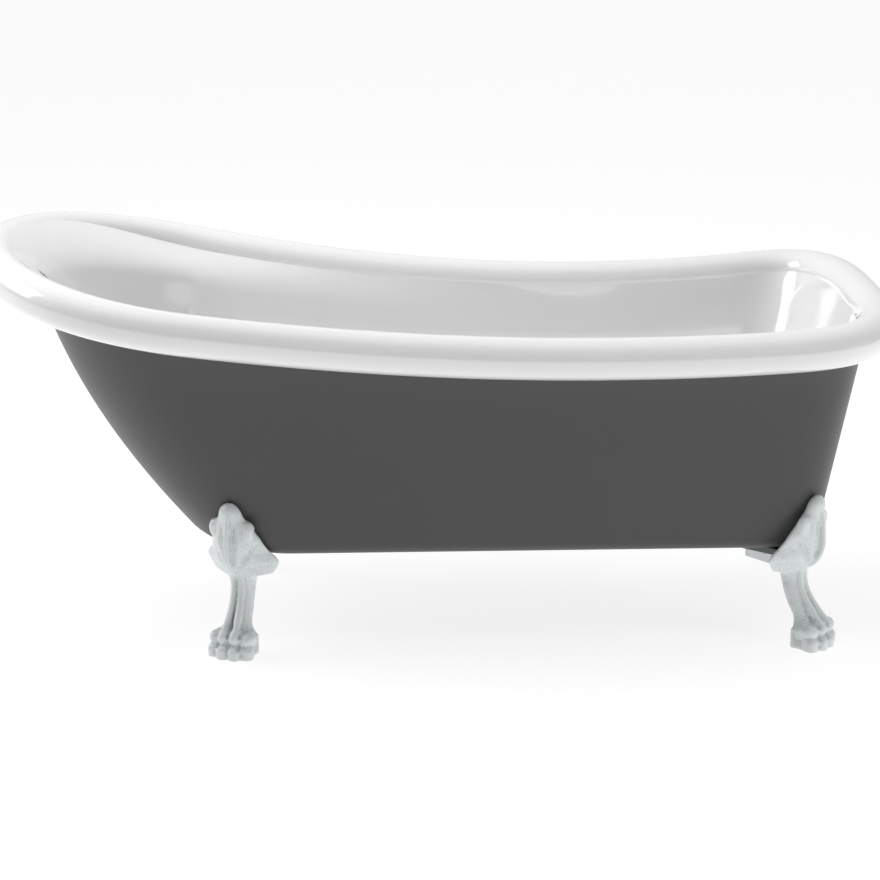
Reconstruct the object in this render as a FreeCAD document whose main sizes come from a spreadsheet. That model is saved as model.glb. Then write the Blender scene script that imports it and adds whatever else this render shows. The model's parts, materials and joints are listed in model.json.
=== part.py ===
"""Claw-foot slipper bath, built as its separate pieces, in millimetres.

+X runs to the tap end, +Y to the far long side, +Z up; the origin is on the floor under the
middle of the bath. The bath is a white formed tub with a rolled rim, a coloured outer skin
tucked under the roll, a stiffening board between the two floors, four cast feet on pressed
brackets, a click waste with an overflow, and a levelling screw in the sole of every foot.
"""
import FreeCAD, Part
import math
import os

import Sketcher

SIZES = [
    # rolled rim
    ("bath_length", 1700.0, "overall length over the roll"),
    ("roll_radius", 38.0, "outside radius of the roll"),
    ("rim_low", 573.5, "height of the roll centre at its lowest point"),
    ("rim_low_x", 280.0, "where the rim is lowest"),
    ("head_rise", 139.2, "how far the rim climbs to the head end"),
    ("tap_rise", 32.9, "how far the rim climbs to the tap end"),
    ("rim_half_width", 323.8, "half width of the roll centre line where it is lowest"),
    ("rim_flare", 0.909, "extra half width for each millimetre of rim height"),
    ("rim_head_end", 375.0, "length of the rounded head end of the roll"),
    ("rim_tap_end", 213.0, "length of the rounded tap end of the roll"),
    ("head_lean", 50.0, "angle on the roll where the backrest runs into it"),
    # outer skin
    ("skin_bottom", 182.4, "height of the underside of the bath"),
    ("skin_half_width", 236.0, "half width of the underside"),
    ("skin_side_slope", 0.206, "outward lean of the long sides"),
    ("skin_head_setback", 393.8, "underside short of the head end of the roll"),
    ("skin_head_slope", 0.919, "outward lean of the head end at the bottom"),
    ("skin_head_curve", 0.000678, "how the head end straightens with height"),
    ("skin_tap_setback", 126.9, "underside short of the tap end of the roll"),
    ("skin_tap_slope", 0.173, "outward lean of the tap end"),
    ("skin_head_end", 188.5, "length of the rounded head end of the underside"),
    ("skin_head_grow", 0.35, "growth of that rounding with height"),
    ("skin_tap_end", 119.5, "length of the rounded tap end of the underside"),
    ("skin_tap_grow", 0.1, "growth of that rounding with height"),
    ("skin_edge", 22.0, "rounding between the underside and the sides"),
    ("skin_thickness", 5.0, "sheet of the outer skin"),
    # tub
    ("tub_thickness", 6.0, "sheet of the tub"),
    ("board_thickness", 24.0, "stiffening board"),
    ("board_edge", 3.0, "gap between the board and the rounding of the skin"),
    ("skin_gap", 27.0, "tub wall inside the skin, measured below the roll"),
    ("side_lean", 0.0325, "how that gap grows downwards at sides and head"),
    ("tap_lean", 0.1, "how that gap grows downwards at the tap end"),
    ("tub_tap_end", 100.0, "length of the rounded tap end inside"),
    ("floor_round", 60.0, "rounding between tub floor and walls"),
    ("bond_gap", 0.4, "glue gap between skin and roll"),
    # feet
    ("head_foot_setback", 89.2, "head feet, in from the head end of the underside"),
    ("head_foot_inset", 17.0, "head feet, in from the long side of the underside"),
    ("head_foot_turn", 18.0, "outward turn of the head feet"),
    ("tap_foot_setback", 59.1, "tap feet, in from the tap end of the underside"),
    ("tap_foot_inset", 12.0, "tap feet, in from the long side of the underside"),
    ("tap_foot_turn", 50.0, "outward turn of the tap feet"),
    ("foot_height", 297.0, "floor to the tip of the leaf"),
    ("foot_gap", 0.7, "gap between casting and skin"),
    ("sole_height", 1.5, "sole above the floor"),
    ("lug_thickness", 12.0, "fixing lug of the foot"),
    ("lug_width", 53.0, "width of the lug"),
    ("lug_reach", 88.0, "lug, from the leg inwards"),
    ("bolt_reach", 70.0, "foot bolt, from the leg inwards"),
    ("bolt_radius", 5.0, "foot bolt"),
    ("bolt_hole_gap", 0.4, "foot bolt clearance in lug and bracket"),
    ("thread_gap", 0.05, "clearance drawn between screwed pieces"),
    ("washer_radius", 10.5, "foot washer"),
    ("washer_thickness", 2.0, "foot washer"),
    ("bolt_head", 6.4, "height of the foot bolt head"),
    ("bolt_flats", 17.0, "width across the flats of the foot bolt head"),
    ("insert_radius", 7.5, "threaded insert in the board"),
    ("insert_length", 20.0, "threaded insert in the board"),
    ("bracket_sheet", 3.0, "sheet of the bracket channel"),
    ("bracket_depth", 12.0, "depth of the bracket channel"),
    ("bracket_start", 27.0, "outer end of the bracket, inwards from the leg"),
    ("bracket_end", 112.0, "inner end of the bracket, inwards from the leg"),
    ("lug_gap", 0.5, "gap between lug and bracket flange"),
    ("screw_radius", 2.5, "bracket screw"),
    ("screw_head", 5.0, "radius of the countersunk head"),
    ("screw_length", 20.0, "bracket screw"),
    ("screw_side", 20.0, "bracket screws, off the middle of the bracket"),
    ("screw_near", 54.0, "outer pair of bracket screws, inwards from the leg"),
    ("screw_far", 101.0, "inner pair of bracket screws, inwards from the leg"),
    # levelling screws
    ("leveller_reach", 45.0, "levelling screw, outwards from the leg"),
    ("stud_radius", 4.0, "levelling stud"),
    ("stud_length", 36.0, "levelling stud above its pad"),
    ("stud_gap", 0.06, "running clearance of the stud in the foot"),
    ("pad_radius", 14.0, "levelling pad"),
    ("pad_height", 5.0, "levelling pad"),
    ("pad_gap", 1.5, "gap between pad and the recess in the sole"),
    ("recess_height", 14.0, "ceiling of the recess above the floor"),
    ("nut_height", 4.0, "lock nut"),
    ("nut_flats", 13.0, "width across the flats of the lock nut"),
    # waste
    ("waste_setback", 203.1, "waste, in from the tap end of the underside"),
    ("spigot_radius", 23.9, "inch and a half threaded waste tube"),
    ("spigot_bore", 20.0, "bore of the waste tube"),
    ("spigot_end", 120.0, "height of the lower end of the waste tube"),
    ("flange_radius", 36.0, "waste flange"),
    ("flange_lip", 3.5, "waste flange"),
    ("seat_radius", 28.0, "recess in the flange for the plug seal"),
    ("seat_depth", 2.0, "recess in the flange for the plug seal"),
    ("seat_gap", 0.2, "closed plug seal over its recess"),
    ("spigot_free", 50.0, "free thread at the lower end of the waste tube"),
    ("thread_relief", 2.0, "groove above the free thread"),
    ("seal_thickness", 1.5, "seal under the flange"),
    ("floor_hole_gap", 2.0, "tub hole round the waste tube"),
    ("chamber_radius", 36.0, "overflow chamber round the waste tube"),
    ("chamber_height", 20.0, "overflow chamber"),
    ("chamber_wall", 3.5, "overflow chamber wall"),
    ("chamber_seal", 2.5, "seals above and below the chamber"),
    ("chamber_seal_radius", 33.0, "seals above and below the chamber"),
    ("backnut_radius", 32.0, "back nut on the waste tube"),
    ("backnut_height", 12.0, "back nut on the waste tube"),
    ("aperture_gap", 6.0, "room round the chamber in board and skin"),
    ("boss_radius", 11.0, "boss in the middle of the waste tube"),
    ("spider_height", 12.0, "boss and ribs in the waste tube"),
    ("spider_drop", 12.0, "top of the boss below the flange face"),
    ("rib_width", 3.0, "ribs of the boss"),
    ("cartridge_radius", 8.0, "plug cartridge"),
    ("cartridge_length", 30.0, "plug cartridge"),
    ("cartridge_base", 3.0, "closed lower end of the cartridge"),
    ("cartridge_rim", 2.5, "rim of the cartridge, on the boss"),
    ("cartridge_rim_reach", 2.0, "rim of the cartridge beyond its barrel"),
    ("stem_radius", 4.0, "plug stem"),
    ("stem_gap", 0.05, "running clearance of the stem"),
    ("stem_hold", 7.2, "plug stem left in its cartridge when the plug is open"),
    ("cap_radius", 31.0, "plug cap"),
    ("cap_edge", 2.4, "edge of the plug cap"),
    ("cap_dome", 3.6, "rise of the cap over its edge"),
    ("cap_gap", 0.3, "closed cap over the flange"),
    ("plug_seal_radius", 25.0, "rubber under the cap"),
    ("plug_travel", 9.0, "lift of the open plug"),
    # overflow
    ("overflow_z", 490.0, "height of the overflow"),
    ("cover_radius", 35.0, "overflow cover"),
    ("cover_depth", 9.0, "overflow cover stands off the wall"),
    ("cover_wall", 2.0, "overflow cover"),
    ("cover_dome", 1.6, "rise of the cover's face over its edge"),
    ("cover_slot", 6.0, "slots round the cover's edge"),
    ("cover_slot_land", 1.5, "wall left over the slots"),
    ("overflow_hole", 18.0, "radius of the overflow hole in the tub"),
    ("elbow_radius", 32.0, "flange of the overflow elbow"),
    ("elbow_flange", 2.5, "flange of the overflow elbow"),
    ("elbow_body", 17.0, "radius of the elbow body"),
    ("elbow_depth", 16.0, "depth of the elbow body behind its flange"),
    ("elbow_wall", 2.0, "wall of the elbow"),
    ("elbow_outlet", 54.0, "end of the outlet below the overflow centre"),
    ("overflow_seal", 2.0, "seal between wall and elbow"),
    ("cover_screw", 2.5, "screw of the overflow cover"),
    ("cover_screw_head", 2.4, "height of its head"),
    ("cover_screw_free", 5.0, "end of that screw above the back of the elbow"),
    ("post_floor", 4.0, "closed end of the elbow's screw post"),
    ("port_radius", 8.0, "hose ports, outside"),
    ("port_bore", 6.2, "hose ports, inside"),
    ("port_length", 22.0, "hose port on the chamber"),
    ("hose_radius", 10.0, "overflow hose, outside"),
    ("hose_bore", 8.1, "overflow hose, inside"),
    ("hose_bend", 62.0, "bend of the hose under the tub"),
    ("hose_end", 5.0, "hose stops short of the shoulder of its port"),
    ("clip_sheet", 1.2, "hose clip"),
    ("clip_width", 9.0, "hose clip"),
    # sizes that follow from those above
    ("skin_head_x", "=bath_length / 2 - skin_head_setback", "reach of the underside, head end"),
    ("skin_tap_x", "=bath_length / 2 - skin_tap_setback", "reach of the underside, tap end"),
    ("head_foot_x", "=skin_head_x - head_foot_setback", "head feet, from the middle"),
    ("head_foot_y", "=skin_half_width - head_foot_inset", "head feet, from the centre line"),
    ("tap_foot_x", "=skin_tap_x - tap_foot_setback", "tap feet, from the middle"),
    ("tap_foot_y", "=skin_half_width - tap_foot_inset", "tap feet, from the centre line"),
    ("waste_x", "=skin_tap_x - waste_setback", "waste, towards the tap end"),
    ("stem_length", "=spider_drop - cartridge_rim + cap_gap + plug_travel + stem_hold",
     "plug stem below the cap"),
]

TAP_STEPS = 8
SIDE_STEPS = 4
HEAD_STEPS = 8
STATIONS = 2 * (TAP_STEPS + SIDE_STEPS + HEAD_STEPS)
ROLL_RINGS = 10
WALL_RINGS = 7
HEAD_POWER = 2.0
TAP_POWER = 3.1
HEAD_CLIMB = 1.9
TAP_CLIMB = 2.2
FLARE_START = 0.8
LEAN_FADE = 0.25
CORNER_SHARE = 0.5
NUDGE = 0.01

# casting, seen in level slices from sole to leaf tip: height, then outward reach of the front
# ridge, outward place and half width of the side edge, outward reach of the back, and how
# square the front and back quarters are (0 straight, 0.41 round, 1 square)
FOOT_SLICES = [
    (1.5, 68.0, 40.0, 35.0, 15.0, 0.75, 0.85),
    (22.0, 72.0, 42.0, 38.0, 13.0, 0.75, 0.85),
    (40.0, 70.0, 40.0, 38.0, 12.0, 0.70, 0.80),
    (54.0, 60.0, 30.0, 34.0, 7.0, 0.55, 0.60),
    (68.0, 47.0, 21.0, 28.0, 0.0, 0.45, 0.45),
    (90.0, 34.0, 13.0, 25.0, -6.0, 0.41, 0.45),
    (115.0, 24.0, 5.0, 25.5, -14.0, 0.35, 0.45),
    (138.0, 20.0, 0.0, 28.0, -19.0, 0.30, 0.45),
    (146.0, 24.0, -7.0, 40.0, -21.0, 0.15, 0.50),
    (156.0, 34.0, -13.0, 60.0, -22.0, 0.05, 0.50),
    (168.0, 46.0, -14.0, 71.0, -22.0, 0.00, 0.50),
    (181.0, 53.0, -11.0, 72.0, -21.0, 0.00, 0.50),
    (194.0, 57.0, -3.0, 62.0, -14.0, 0.05, 0.45),
    (208.0, 58.0, 6.0, 51.0, -6.0, 0.12, 0.40),
    (222.0, 57.0, 14.0, 42.0, 1.0, 0.20, 0.40),
    (236.0, 55.0, 20.0, 40.0, 8.0, 0.25, 0.40),
    (250.0, 53.0, 27.0, 43.0, 14.0, 0.25, 0.40),
    (264.0, 51.0, 33.0, 34.0, 20.0, 0.30, 0.40),
    (278.0, 50.0, 36.0, 23.0, 25.0, 0.35, 0.40),
    (290.0, 47.0, 38.0, 15.0, 29.0, 0.38, 0.40),
    (297.0, 43.0, 39.0, 6.0, 34.0, 0.40, 0.40),
]
# toes from the middle outwards: side place, outward place of tip and of knuckle
TOES = [(9.5, 68.0, 55.0), (28.0, 61.0, 49.0)]
TOE_TIP = (17.0, 10.2, 15.0)
TOE_TIP_HEIGHT = 15.5
TOE_KNUCKLE = (17.0, 10.4, 17.0)
TOE_KNUCKLE_HEIGHT = 44.0

CORNERS = [("head_near", "head", -1), ("head_far", "head", 1), ("tap_near", "tap", -1), ("tap_far", "tap", 1)]
V = FreeCAD.Vector

doc = FreeCAD.newDocument("ClawFootBath")
sheet = doc.addObject("Spreadsheet::Sheet", "Sizes")
for row, (alias, value, note) in enumerate(SIZES, start=1):
    sheet.set("A%d" % row, note)
    sheet.set("B%d" % row, str(value))
    sheet.setAlias("B%d" % row, alias)
doc.recompute()


class Size:
    """A size as the sheet's text and as its value, so one writing serves both."""

    def __init__(self, text, value):
        self.text = text
        self.value = value

    def join(self, other, sign, value):
        return Size("(%s %s %s)" % (self.text, sign, other.text), value)

    def __add__(self, other):
        other = size(other)
        return self.join(other, "+", self.value + other.value)

    def __sub__(self, other):
        other = size(other)
        return self.join(other, "-", self.value - other.value)

    def __mul__(self, other):
        other = size(other)
        return self.join(other, "*", self.value * other.value)

    def __truediv__(self, other):
        other = size(other)
        return self.join(other, "/", self.value / other.value)

    __radd__ = __add__

    def __rsub__(self, other):
        return size(other) - self


def size(thing):
    """A Size from a sheet alias, a plain number or another Size."""
    if isinstance(thing, Size):
        return thing
    if isinstance(thing, str):
        return Size("Sizes." + thing, float(getattr(sheet, thing)))
    return Size(repr(thing), float(thing))


def val(alias):
    return float(getattr(sheet, alias))


def bind(thing, **properties):
    for name, amount in properties.items():
        thing.setExpression(name, size(amount).text)


# ---------------------------------------------------------------- placing

def at(x, y, z, rotation=None):
    return FreeCAD.Placement(V(x, y, z), rotation or FreeCAD.Rotation())


def foot_frame(end):
    """Placement of a near-side foot: local +X outwards, local +Z up, origin on the floor."""
    turn = val(end + "_foot_turn")
    side = -1.0 if end == "head" else 1.0
    heading = -90.0 + side * turn
    return at(side * val(end + "_foot_x"), -val(end + "_foot_y"), 0,
              FreeCAD.Rotation(V(0, 0, 1), heading))


def corner_frame(end, side):
    """The same for either long side: the far feet face the other way across the bath."""
    near = foot_frame(end)
    if side < 0:
        return near
    base = near.Base
    angle = near.Rotation.toEuler()[0]
    return at(base.x, -base.y, 0, FreeCAD.Rotation(V(0, 0, 1), -angle))


# ---------------------------------------------------------------- outlines

def plan(p, half_width, head_x, head_end, tap_x, tap_end):
    """Point p (0 to STATIONS, anticlockwise from the tap end) of a bath-shaped outline."""
    half = STATIONS / 2.0
    p = p % STATIONS
    side = 1.0
    if p > half:
        p = STATIONS - p
        side = -1.0
    if p <= TAP_STEPS:
        turn = math.pi / 2 * p / TAP_STEPS
        reach, across = rounded(turn, TAP_POWER)
        x = tap_x - tap_end + tap_end * reach
    elif p < TAP_STEPS + SIDE_STEPS:
        share = (p - TAP_STEPS) / SIDE_STEPS
        x = (tap_x - tap_end) * (1 - share) + (head_x + head_end) * share
        across = 1.0
    else:
        turn = math.pi / 2 * (half - p) / HEAD_STEPS
        reach, across = rounded(turn, HEAD_POWER)
        x = head_x + head_end - head_end * reach
    return x, side * half_width * across


def rounded(turn, power):
    """Unit rounded quarter: reach and across at an angle, squarer with a higher power."""
    c = abs(math.cos(turn))
    s = abs(math.sin(turn))
    r = (c ** power + s ** power) ** (-1.0 / power)
    return c * r, s * r


def head_share(p):
    """0 on the sides and tap end, 1 round the head end, with a short soft step between."""
    half = STATIONS / 2.0
    p = p % STATIONS
    q = min(p, STATIONS - p)
    share = (q - TAP_STEPS - SIDE_STEPS) / HEAD_STEPS / LEAN_FADE
    share = min(1.0, max(0.0, share))
    return share * share * (3 - 2 * share)


def sheer(x):
    """Height of the roll centre along the bath."""
    run = val("bath_length") / 2 - val("roll_radius")
    low = val("rim_low_x")
    if x < low:
        return val("rim_low") + val("head_rise") * ((low - x) / (low + run)) ** HEAD_CLIMB
    return val("rim_low") + val("tap_rise") * ((x - low) / (run - low)) ** TAP_CLIMB


def rim(p):
    """Centre line of the roll."""
    run = val("bath_length") / 2 - val("roll_radius")
    ends = (-run, val("rim_head_end"), run, val("rim_tap_end"))
    x = plan(p, 1.0, *ends)[0]
    z = sheer(x)
    half_width = val("rim_half_width") + val("rim_flare") * (z - val("rim_low"))
    return V(*plan(p, half_width, *ends), z)


def rim_outwards(p):
    along = rim(p + NUDGE) - rim(p - NUDGE)
    out = V(along.y, -along.x, 0)
    return out.normalize()


def skin_plan(p, z, inset=0.0, corner=CORNER_SHARE):
    """Outside of the skin at a height, moved inwards by inset."""
    up = z - val("skin_bottom")
    half_width = val("skin_half_width") + val("skin_side_slope") * up
    head_x = -val("skin_head_x") - val("skin_head_slope") * up + val("skin_head_curve") * up * up
    tap_x = val("skin_tap_x") + val("skin_tap_slope") * up
    head_end = val("skin_head_end") + val("skin_head_grow") * up
    tap_end = val("skin_tap_end") + val("skin_tap_grow") * up
    x, y = plan(p, half_width - inset, head_x + inset, head_end - inset,
                tap_x - inset, tap_end - corner * inset)
    return V(x, y, z)


def tub_plan(p, z, inset=0.0):
    """Inside of the tub wall at a height, moved inwards by inset."""
    up = z - val("skin_bottom")
    drop = val("rim_low") - z
    side_gap = val("skin_gap") + val("side_lean") * drop + inset
    tap_gap = val("skin_gap") + val("tap_lean") * drop + inset
    half_width = val("skin_half_width") + val("skin_side_slope") * up - side_gap
    head_x = -val("skin_head_x") - val("skin_head_slope") * up + val("skin_head_curve") * up * up
    tap_x = val("skin_tap_x") + val("skin_tap_slope") * up
    head_end = val("skin_head_end") + val("skin_head_grow") * up
    tap_end = val("tub_tap_end") + val("skin_tap_grow") * up - CORNER_SHARE * inset
    x, y = plan(p, half_width, head_x + side_gap, head_end - side_gap, tap_x - tap_gap, tap_end)
    return V(x, y, z)


def tub_floor():
    return (val("skin_bottom") + val("skin_thickness") + val("board_thickness")
            + val("tub_thickness"))


def crease_angle(p):
    """Where the tub wall runs into the roll: level on the sides, leant back at the head."""
    return math.radians(180.0 - val("head_lean") * head_share(p))


def roll_point(p, radius, angle):
    return rim(p) + rim_outwards(p) * (radius * math.cos(angle)) + V(0, 0, radius * math.sin(angle))


def tub_wall(p, share):
    """Tub wall from the top of the floor rounding (0) to the roll (1), flared at the top."""
    crease = roll_point(p, val("roll_radius"), crease_angle(p))
    start = tub_floor() + val("floor_round")
    z = start + (crease.z - start) * share
    flare = max(0.0, (share - FLARE_START) / (1 - FLARE_START)) ** 2
    foot = tub_plan(p, crease.z)
    point = tub_plan(p, z)
    return V(point.x + flare * (crease.x - foot.x), point.y + flare * (crease.y - foot.y), z)


# ---------------------------------------------------------------- lofted sheets

def ring_points(function):
    return [function(k) for k in range(STATIONS)]


def ring_parameters():
    """Shares of the way round the roll, which every ring uses."""
    points = ring_points(rim)
    steps = [points[k].distanceToPoint(points[(k + 1) % STATIONS]) for k in range(STATIONS)]
    total = sum(steps)
    return [sum(steps[:k]) / total for k in range(STATIONS + 1)]


PARAMETERS = ring_parameters()


def ring_wire(points):
    curve = Part.BSplineCurve()
    curve.interpolate(Points=points, PeriodicFlag=True, Parameters=PARAMETERS)
    return Part.Wire([curve.toShape()])


def band(rings, ruled=False):
    return Part.makeLoft([ring_wire(points) for points in rings], False, ruled).Faces


def offset_rings(rings, thickness):
    """Rings moved along their own normals, away from the inside of the bath."""
    moved = []
    for j in range(1, len(rings) - 1):
        row = []
        for k in range(STATIONS):
            around = rings[j][(k + 1) % STATIONS] - rings[j][k - 1]
            up = rings[j + 1][k] - rings[j - 1][k]
            row.append(rings[j][k] + around.cross(up).normalize() * thickness)
        moved.append(row)
    return moved


def solid_from(faces):
    shell = Part.makeShell(faces)
    shell.sewShape(0.01)
    if shell.ShapeType != "Shell":
        shell = shell.Shells[0]
    solid = Part.Solid(shell)
    if solid.Volume < 0:
        solid.reverse()
    return solid


def rounding_rings(plan_at, bottom, radius, steps):
    """Rings of a rounded lower edge, from the flat underside up to the wall."""
    rings = []
    for step in range(steps + 1):
        turn = math.pi / 2 * step / steps
        z = bottom + radius * (1 - math.cos(turn))
        inset = radius * (1 - math.sin(turn))
        rings.append(ring_points(lambda p: plan_at(p, z, inset)))
    return rings


def make_tub():
    """One formed sheet: floor, walls, the roll and its lip, which turns in to meet the skin."""
    thick = val("tub_thickness")
    radius = val("roll_radius")
    floor = tub_floor()
    inside = rounding_rings(tub_plan, floor, val("floor_round"), 4)
    inside += [ring_points(lambda p: tub_wall(p, step / WALL_RINGS))
               for step in range(1, WALL_RINGS + 1)]

    def roll_rings(r):
        rings = []
        for step in range(ROLL_RINGS + 1):
            share = step / ROLL_RINGS
            rings.append(ring_points(lambda p: roll_point(
                p, r, crease_angle(p) * (1 - share) - math.pi / 2 * share)))
        return rings

    outer_roll = roll_rings(radius)
    inner_roll = roll_rings(radius - thick)
    inside[-1] = outer_roll[0]
    gap = val("bond_gap")
    lip_low = ring_points(lambda p: skin_plan(p, rim(p).z - radius, -gap, 1.0))
    lip_high = ring_points(lambda p: skin_plan(p, rim(p).z - radius + thick, -gap, 1.0))
    under = [[point - V(0, 0, thick) for point in inside[0]]]
    under += offset_rings(inside, thick)
    under.append(inner_roll[0])
    faces = [Part.Face(ring_wire(inside[0]))]
    faces += band(inside)
    faces += band(outer_roll)
    faces += band([outer_roll[-1], lip_low], True)
    faces += band([lip_low, lip_high], True)
    faces += band([lip_high, inner_roll[-1]], True)
    faces += band(inner_roll)
    faces += band(under)
    faces.append(Part.Face(ring_wire(under[0])))
    return solid_from(faces)


def skin_rings(gap=0.0):
    """Outside of the skin, from the flat underside to its edge inside the roll's lip."""
    bottom = val("skin_bottom")
    edge = val("skin_edge")
    rings = rounding_rings(lambda p, z, inset: skin_plan(p, z, inset - gap), bottom - gap,
                           edge + gap, 3)

    def wall(p, share):
        top = rim(p).z - val("roll_radius") + val("tub_thickness")
        return skin_plan(p, bottom + edge + (top - bottom - edge) * share, -gap)

    return rings + [ring_points(lambda p: wall(p, step / WALL_RINGS))
                    for step in range(1, WALL_RINGS + 1)]


def make_skin():
    thick = val("skin_thickness")
    outside = skin_rings()
    inside = [[point + V(0, 0, thick) for point in outside[0]]]
    inside += offset_rings(outside, -thick)
    top = []
    for k, point in enumerate(outside[-1]):
        around = outside[-1][(k + 1) % STATIONS] - outside[-1][k - 1]
        top.append(point - V(around.y, -around.x, 0).normalize() * thick)
    inside.append(top)
    faces = [Part.Face(ring_wire(outside[0]))] + band(outside)
    faces += band([outside[-1], inside[-1]], True) + band(inside)
    faces.append(Part.Face(ring_wire(inside[0])))
    return solid_from(faces)


def make_skin_envelope():
    """The space of the skin with the casting gap round it, which the feet are cut back to."""
    rings = skin_rings(val("foot_gap"))
    top = val("rim_low") + val("head_rise")
    flat = ring_points(lambda p: skin_plan(p, top, -val("foot_gap")))
    faces = [Part.Face(ring_wire(rings[0]))] + band(rings) + band([rings[-1], flat], True)
    faces.append(Part.Face(ring_wire(flat)))
    return solid_from(faces)


# ---------------------------------------------------------------- bodies

def plane_of(body, role):
    return [item for item in body.Origin.OriginFeatures if item.Role == role][0]


def new_body(label, placement=None):
    body = doc.addObject("PartDesign::Body", label)
    body.Label = label
    if placement is not None:
        body.Placement = placement
    return body


def new_sketch(body, name, role, height=None):
    sketch = body.newObject("Sketcher::SketchObject", name)
    sketch.AttachmentSupport = [(plane_of(body, role), "")]
    sketch.MapMode = "FlatFace"
    if height is not None:
        sketch.setExpression("AttachmentOffset.Base.z", size(height).text)
    return sketch


def hold(sketch, kind, geometry, point, amount):
    """Ties one coordinate of a point to a size; zero puts the point on the axis."""
    amount = size(amount)
    if abs(amount.value) < 1e-9:
        axis = -2 if kind == "DistanceX" else -1
        sketch.addConstraint(Sketcher.Constraint("PointOnObject", geometry, point, axis))
        return
    number = sketch.addConstraint(Sketcher.Constraint(kind, geometry, point, amount.value))
    sketch.setExpression("Constraints[%d]" % number, amount.text)


def draw_polygon(sketch, corners):
    corners = [(size(x), size(y)) for x, y in corners]
    count = len(corners)
    first = sketch.GeometryCount
    for k in range(count):
        x, y = corners[k]
        nx, ny = corners[(k + 1) % count]
        sketch.addGeometry(Part.LineSegment(V(x.value, y.value, 0), V(nx.value, ny.value, 0)))
    for k in range(count):
        sketch.addConstraint(Sketcher.Constraint(
            "Coincident", first + k, 2, first + (k + 1) % count, 1))
        hold(sketch, "DistanceX", first + k, 1, corners[k][0])
        hold(sketch, "DistanceY", first + k, 1, corners[k][1])


def draw_circle(sketch, radius, x=0.0, y=0.0):
    radius = size(radius)
    centre = V(size(x).value, size(y).value, 0)
    number = sketch.addGeometry(Part.Circle(centre, V(0, 0, 1), radius.value))
    hold(sketch, "DistanceX", number, 3, x)
    hold(sketch, "DistanceY", number, 3, y)
    tie = sketch.addConstraint(Sketcher.Constraint("Radius", number, radius.value))
    sketch.setExpression("Constraints[%d]" % tie, radius.text)


def add_pad(body, sketch, length, name="Pad"):
    pad = body.newObject("PartDesign::Pad", name)
    pad.Profile = sketch
    bind(pad, Length=length)
    return pad


def turned(label, corners, placement):
    """A turned piece: its half section, radius by height, goes once round the local Z axis."""
    body = new_body(label, placement)
    sketch = new_sketch(body, label + "_section", "XZ_Plane")
    draw_polygon(sketch, corners)
    spin = body.newObject("PartDesign::Revolution", label + "_turn")
    spin.Profile = sketch
    spin.ReferenceAxis = (sketch, ["V_Axis"])
    spin.Angle = 360.0
    return body


def washer_body(label, outer, inner, height, placement):
    body = new_body(label, placement)
    sketch = new_sketch(body, label + "_outline", "XY_Plane")
    draw_circle(sketch, outer)
    draw_circle(sketch, inner)
    add_pad(body, sketch, height, label + "_pad")
    return body


def cylinder(name, radius, height, placement):
    item = doc.addObject("Part::Cylinder", name)
    bind(item, Radius=radius, Height=height)
    item.Placement = placement
    return item


def box(name, length, width, height, placement):
    item = doc.addObject("Part::Box", name)
    bind(item, Length=length, Width=width, Height=height)
    item.Placement = placement
    return item


def hexagon(name, flats, height, placement):
    item = doc.addObject("Part::Prism", name)
    item.Polygon = 6
    bind(item, Circumradius=size(flats) / (2 * math.cos(math.pi / 6)), Height=height)
    item.Placement = placement
    return item


def fuse(label, shapes):
    item = doc.addObject("Part::MultiFuse", label)
    item.Shapes = shapes
    item.Label = label
    return item


def cut(label, base, *tools):
    tool = tools[0] if len(tools) == 1 else fuse(label + "_tools", list(tools))
    item = doc.addObject("Part::Cut", label)
    item.Base = base
    item.Tool = tool
    item.Label = label
    return item


def group(label, shapes):
    item = doc.addObject("Part::Compound", label)
    item.Links = shapes
    item.Label = label
    return item


def feature(label, shape):
    item = doc.addObject("Part::Feature", label)
    item.Shape = shape
    item.Label = label
    return item


# ---------------------------------------------------------------- tub, skin and board

def overflow_frame():
    """Placement on the inside of the tap-end wall: local +Z out of the wall into the bath."""
    z = val("overflow_z")
    here = tub_plan(0, z)
    lean = val("skin_tap_slope") + val("tap_lean")
    angle = math.degrees(math.atan(lean))
    return at(here.x, 0, z, FreeCAD.Rotation(V(0, 1, 0), -90.0 + angle))


def waste_at(z):
    return at(val("waste_x"), 0, z)


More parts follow.
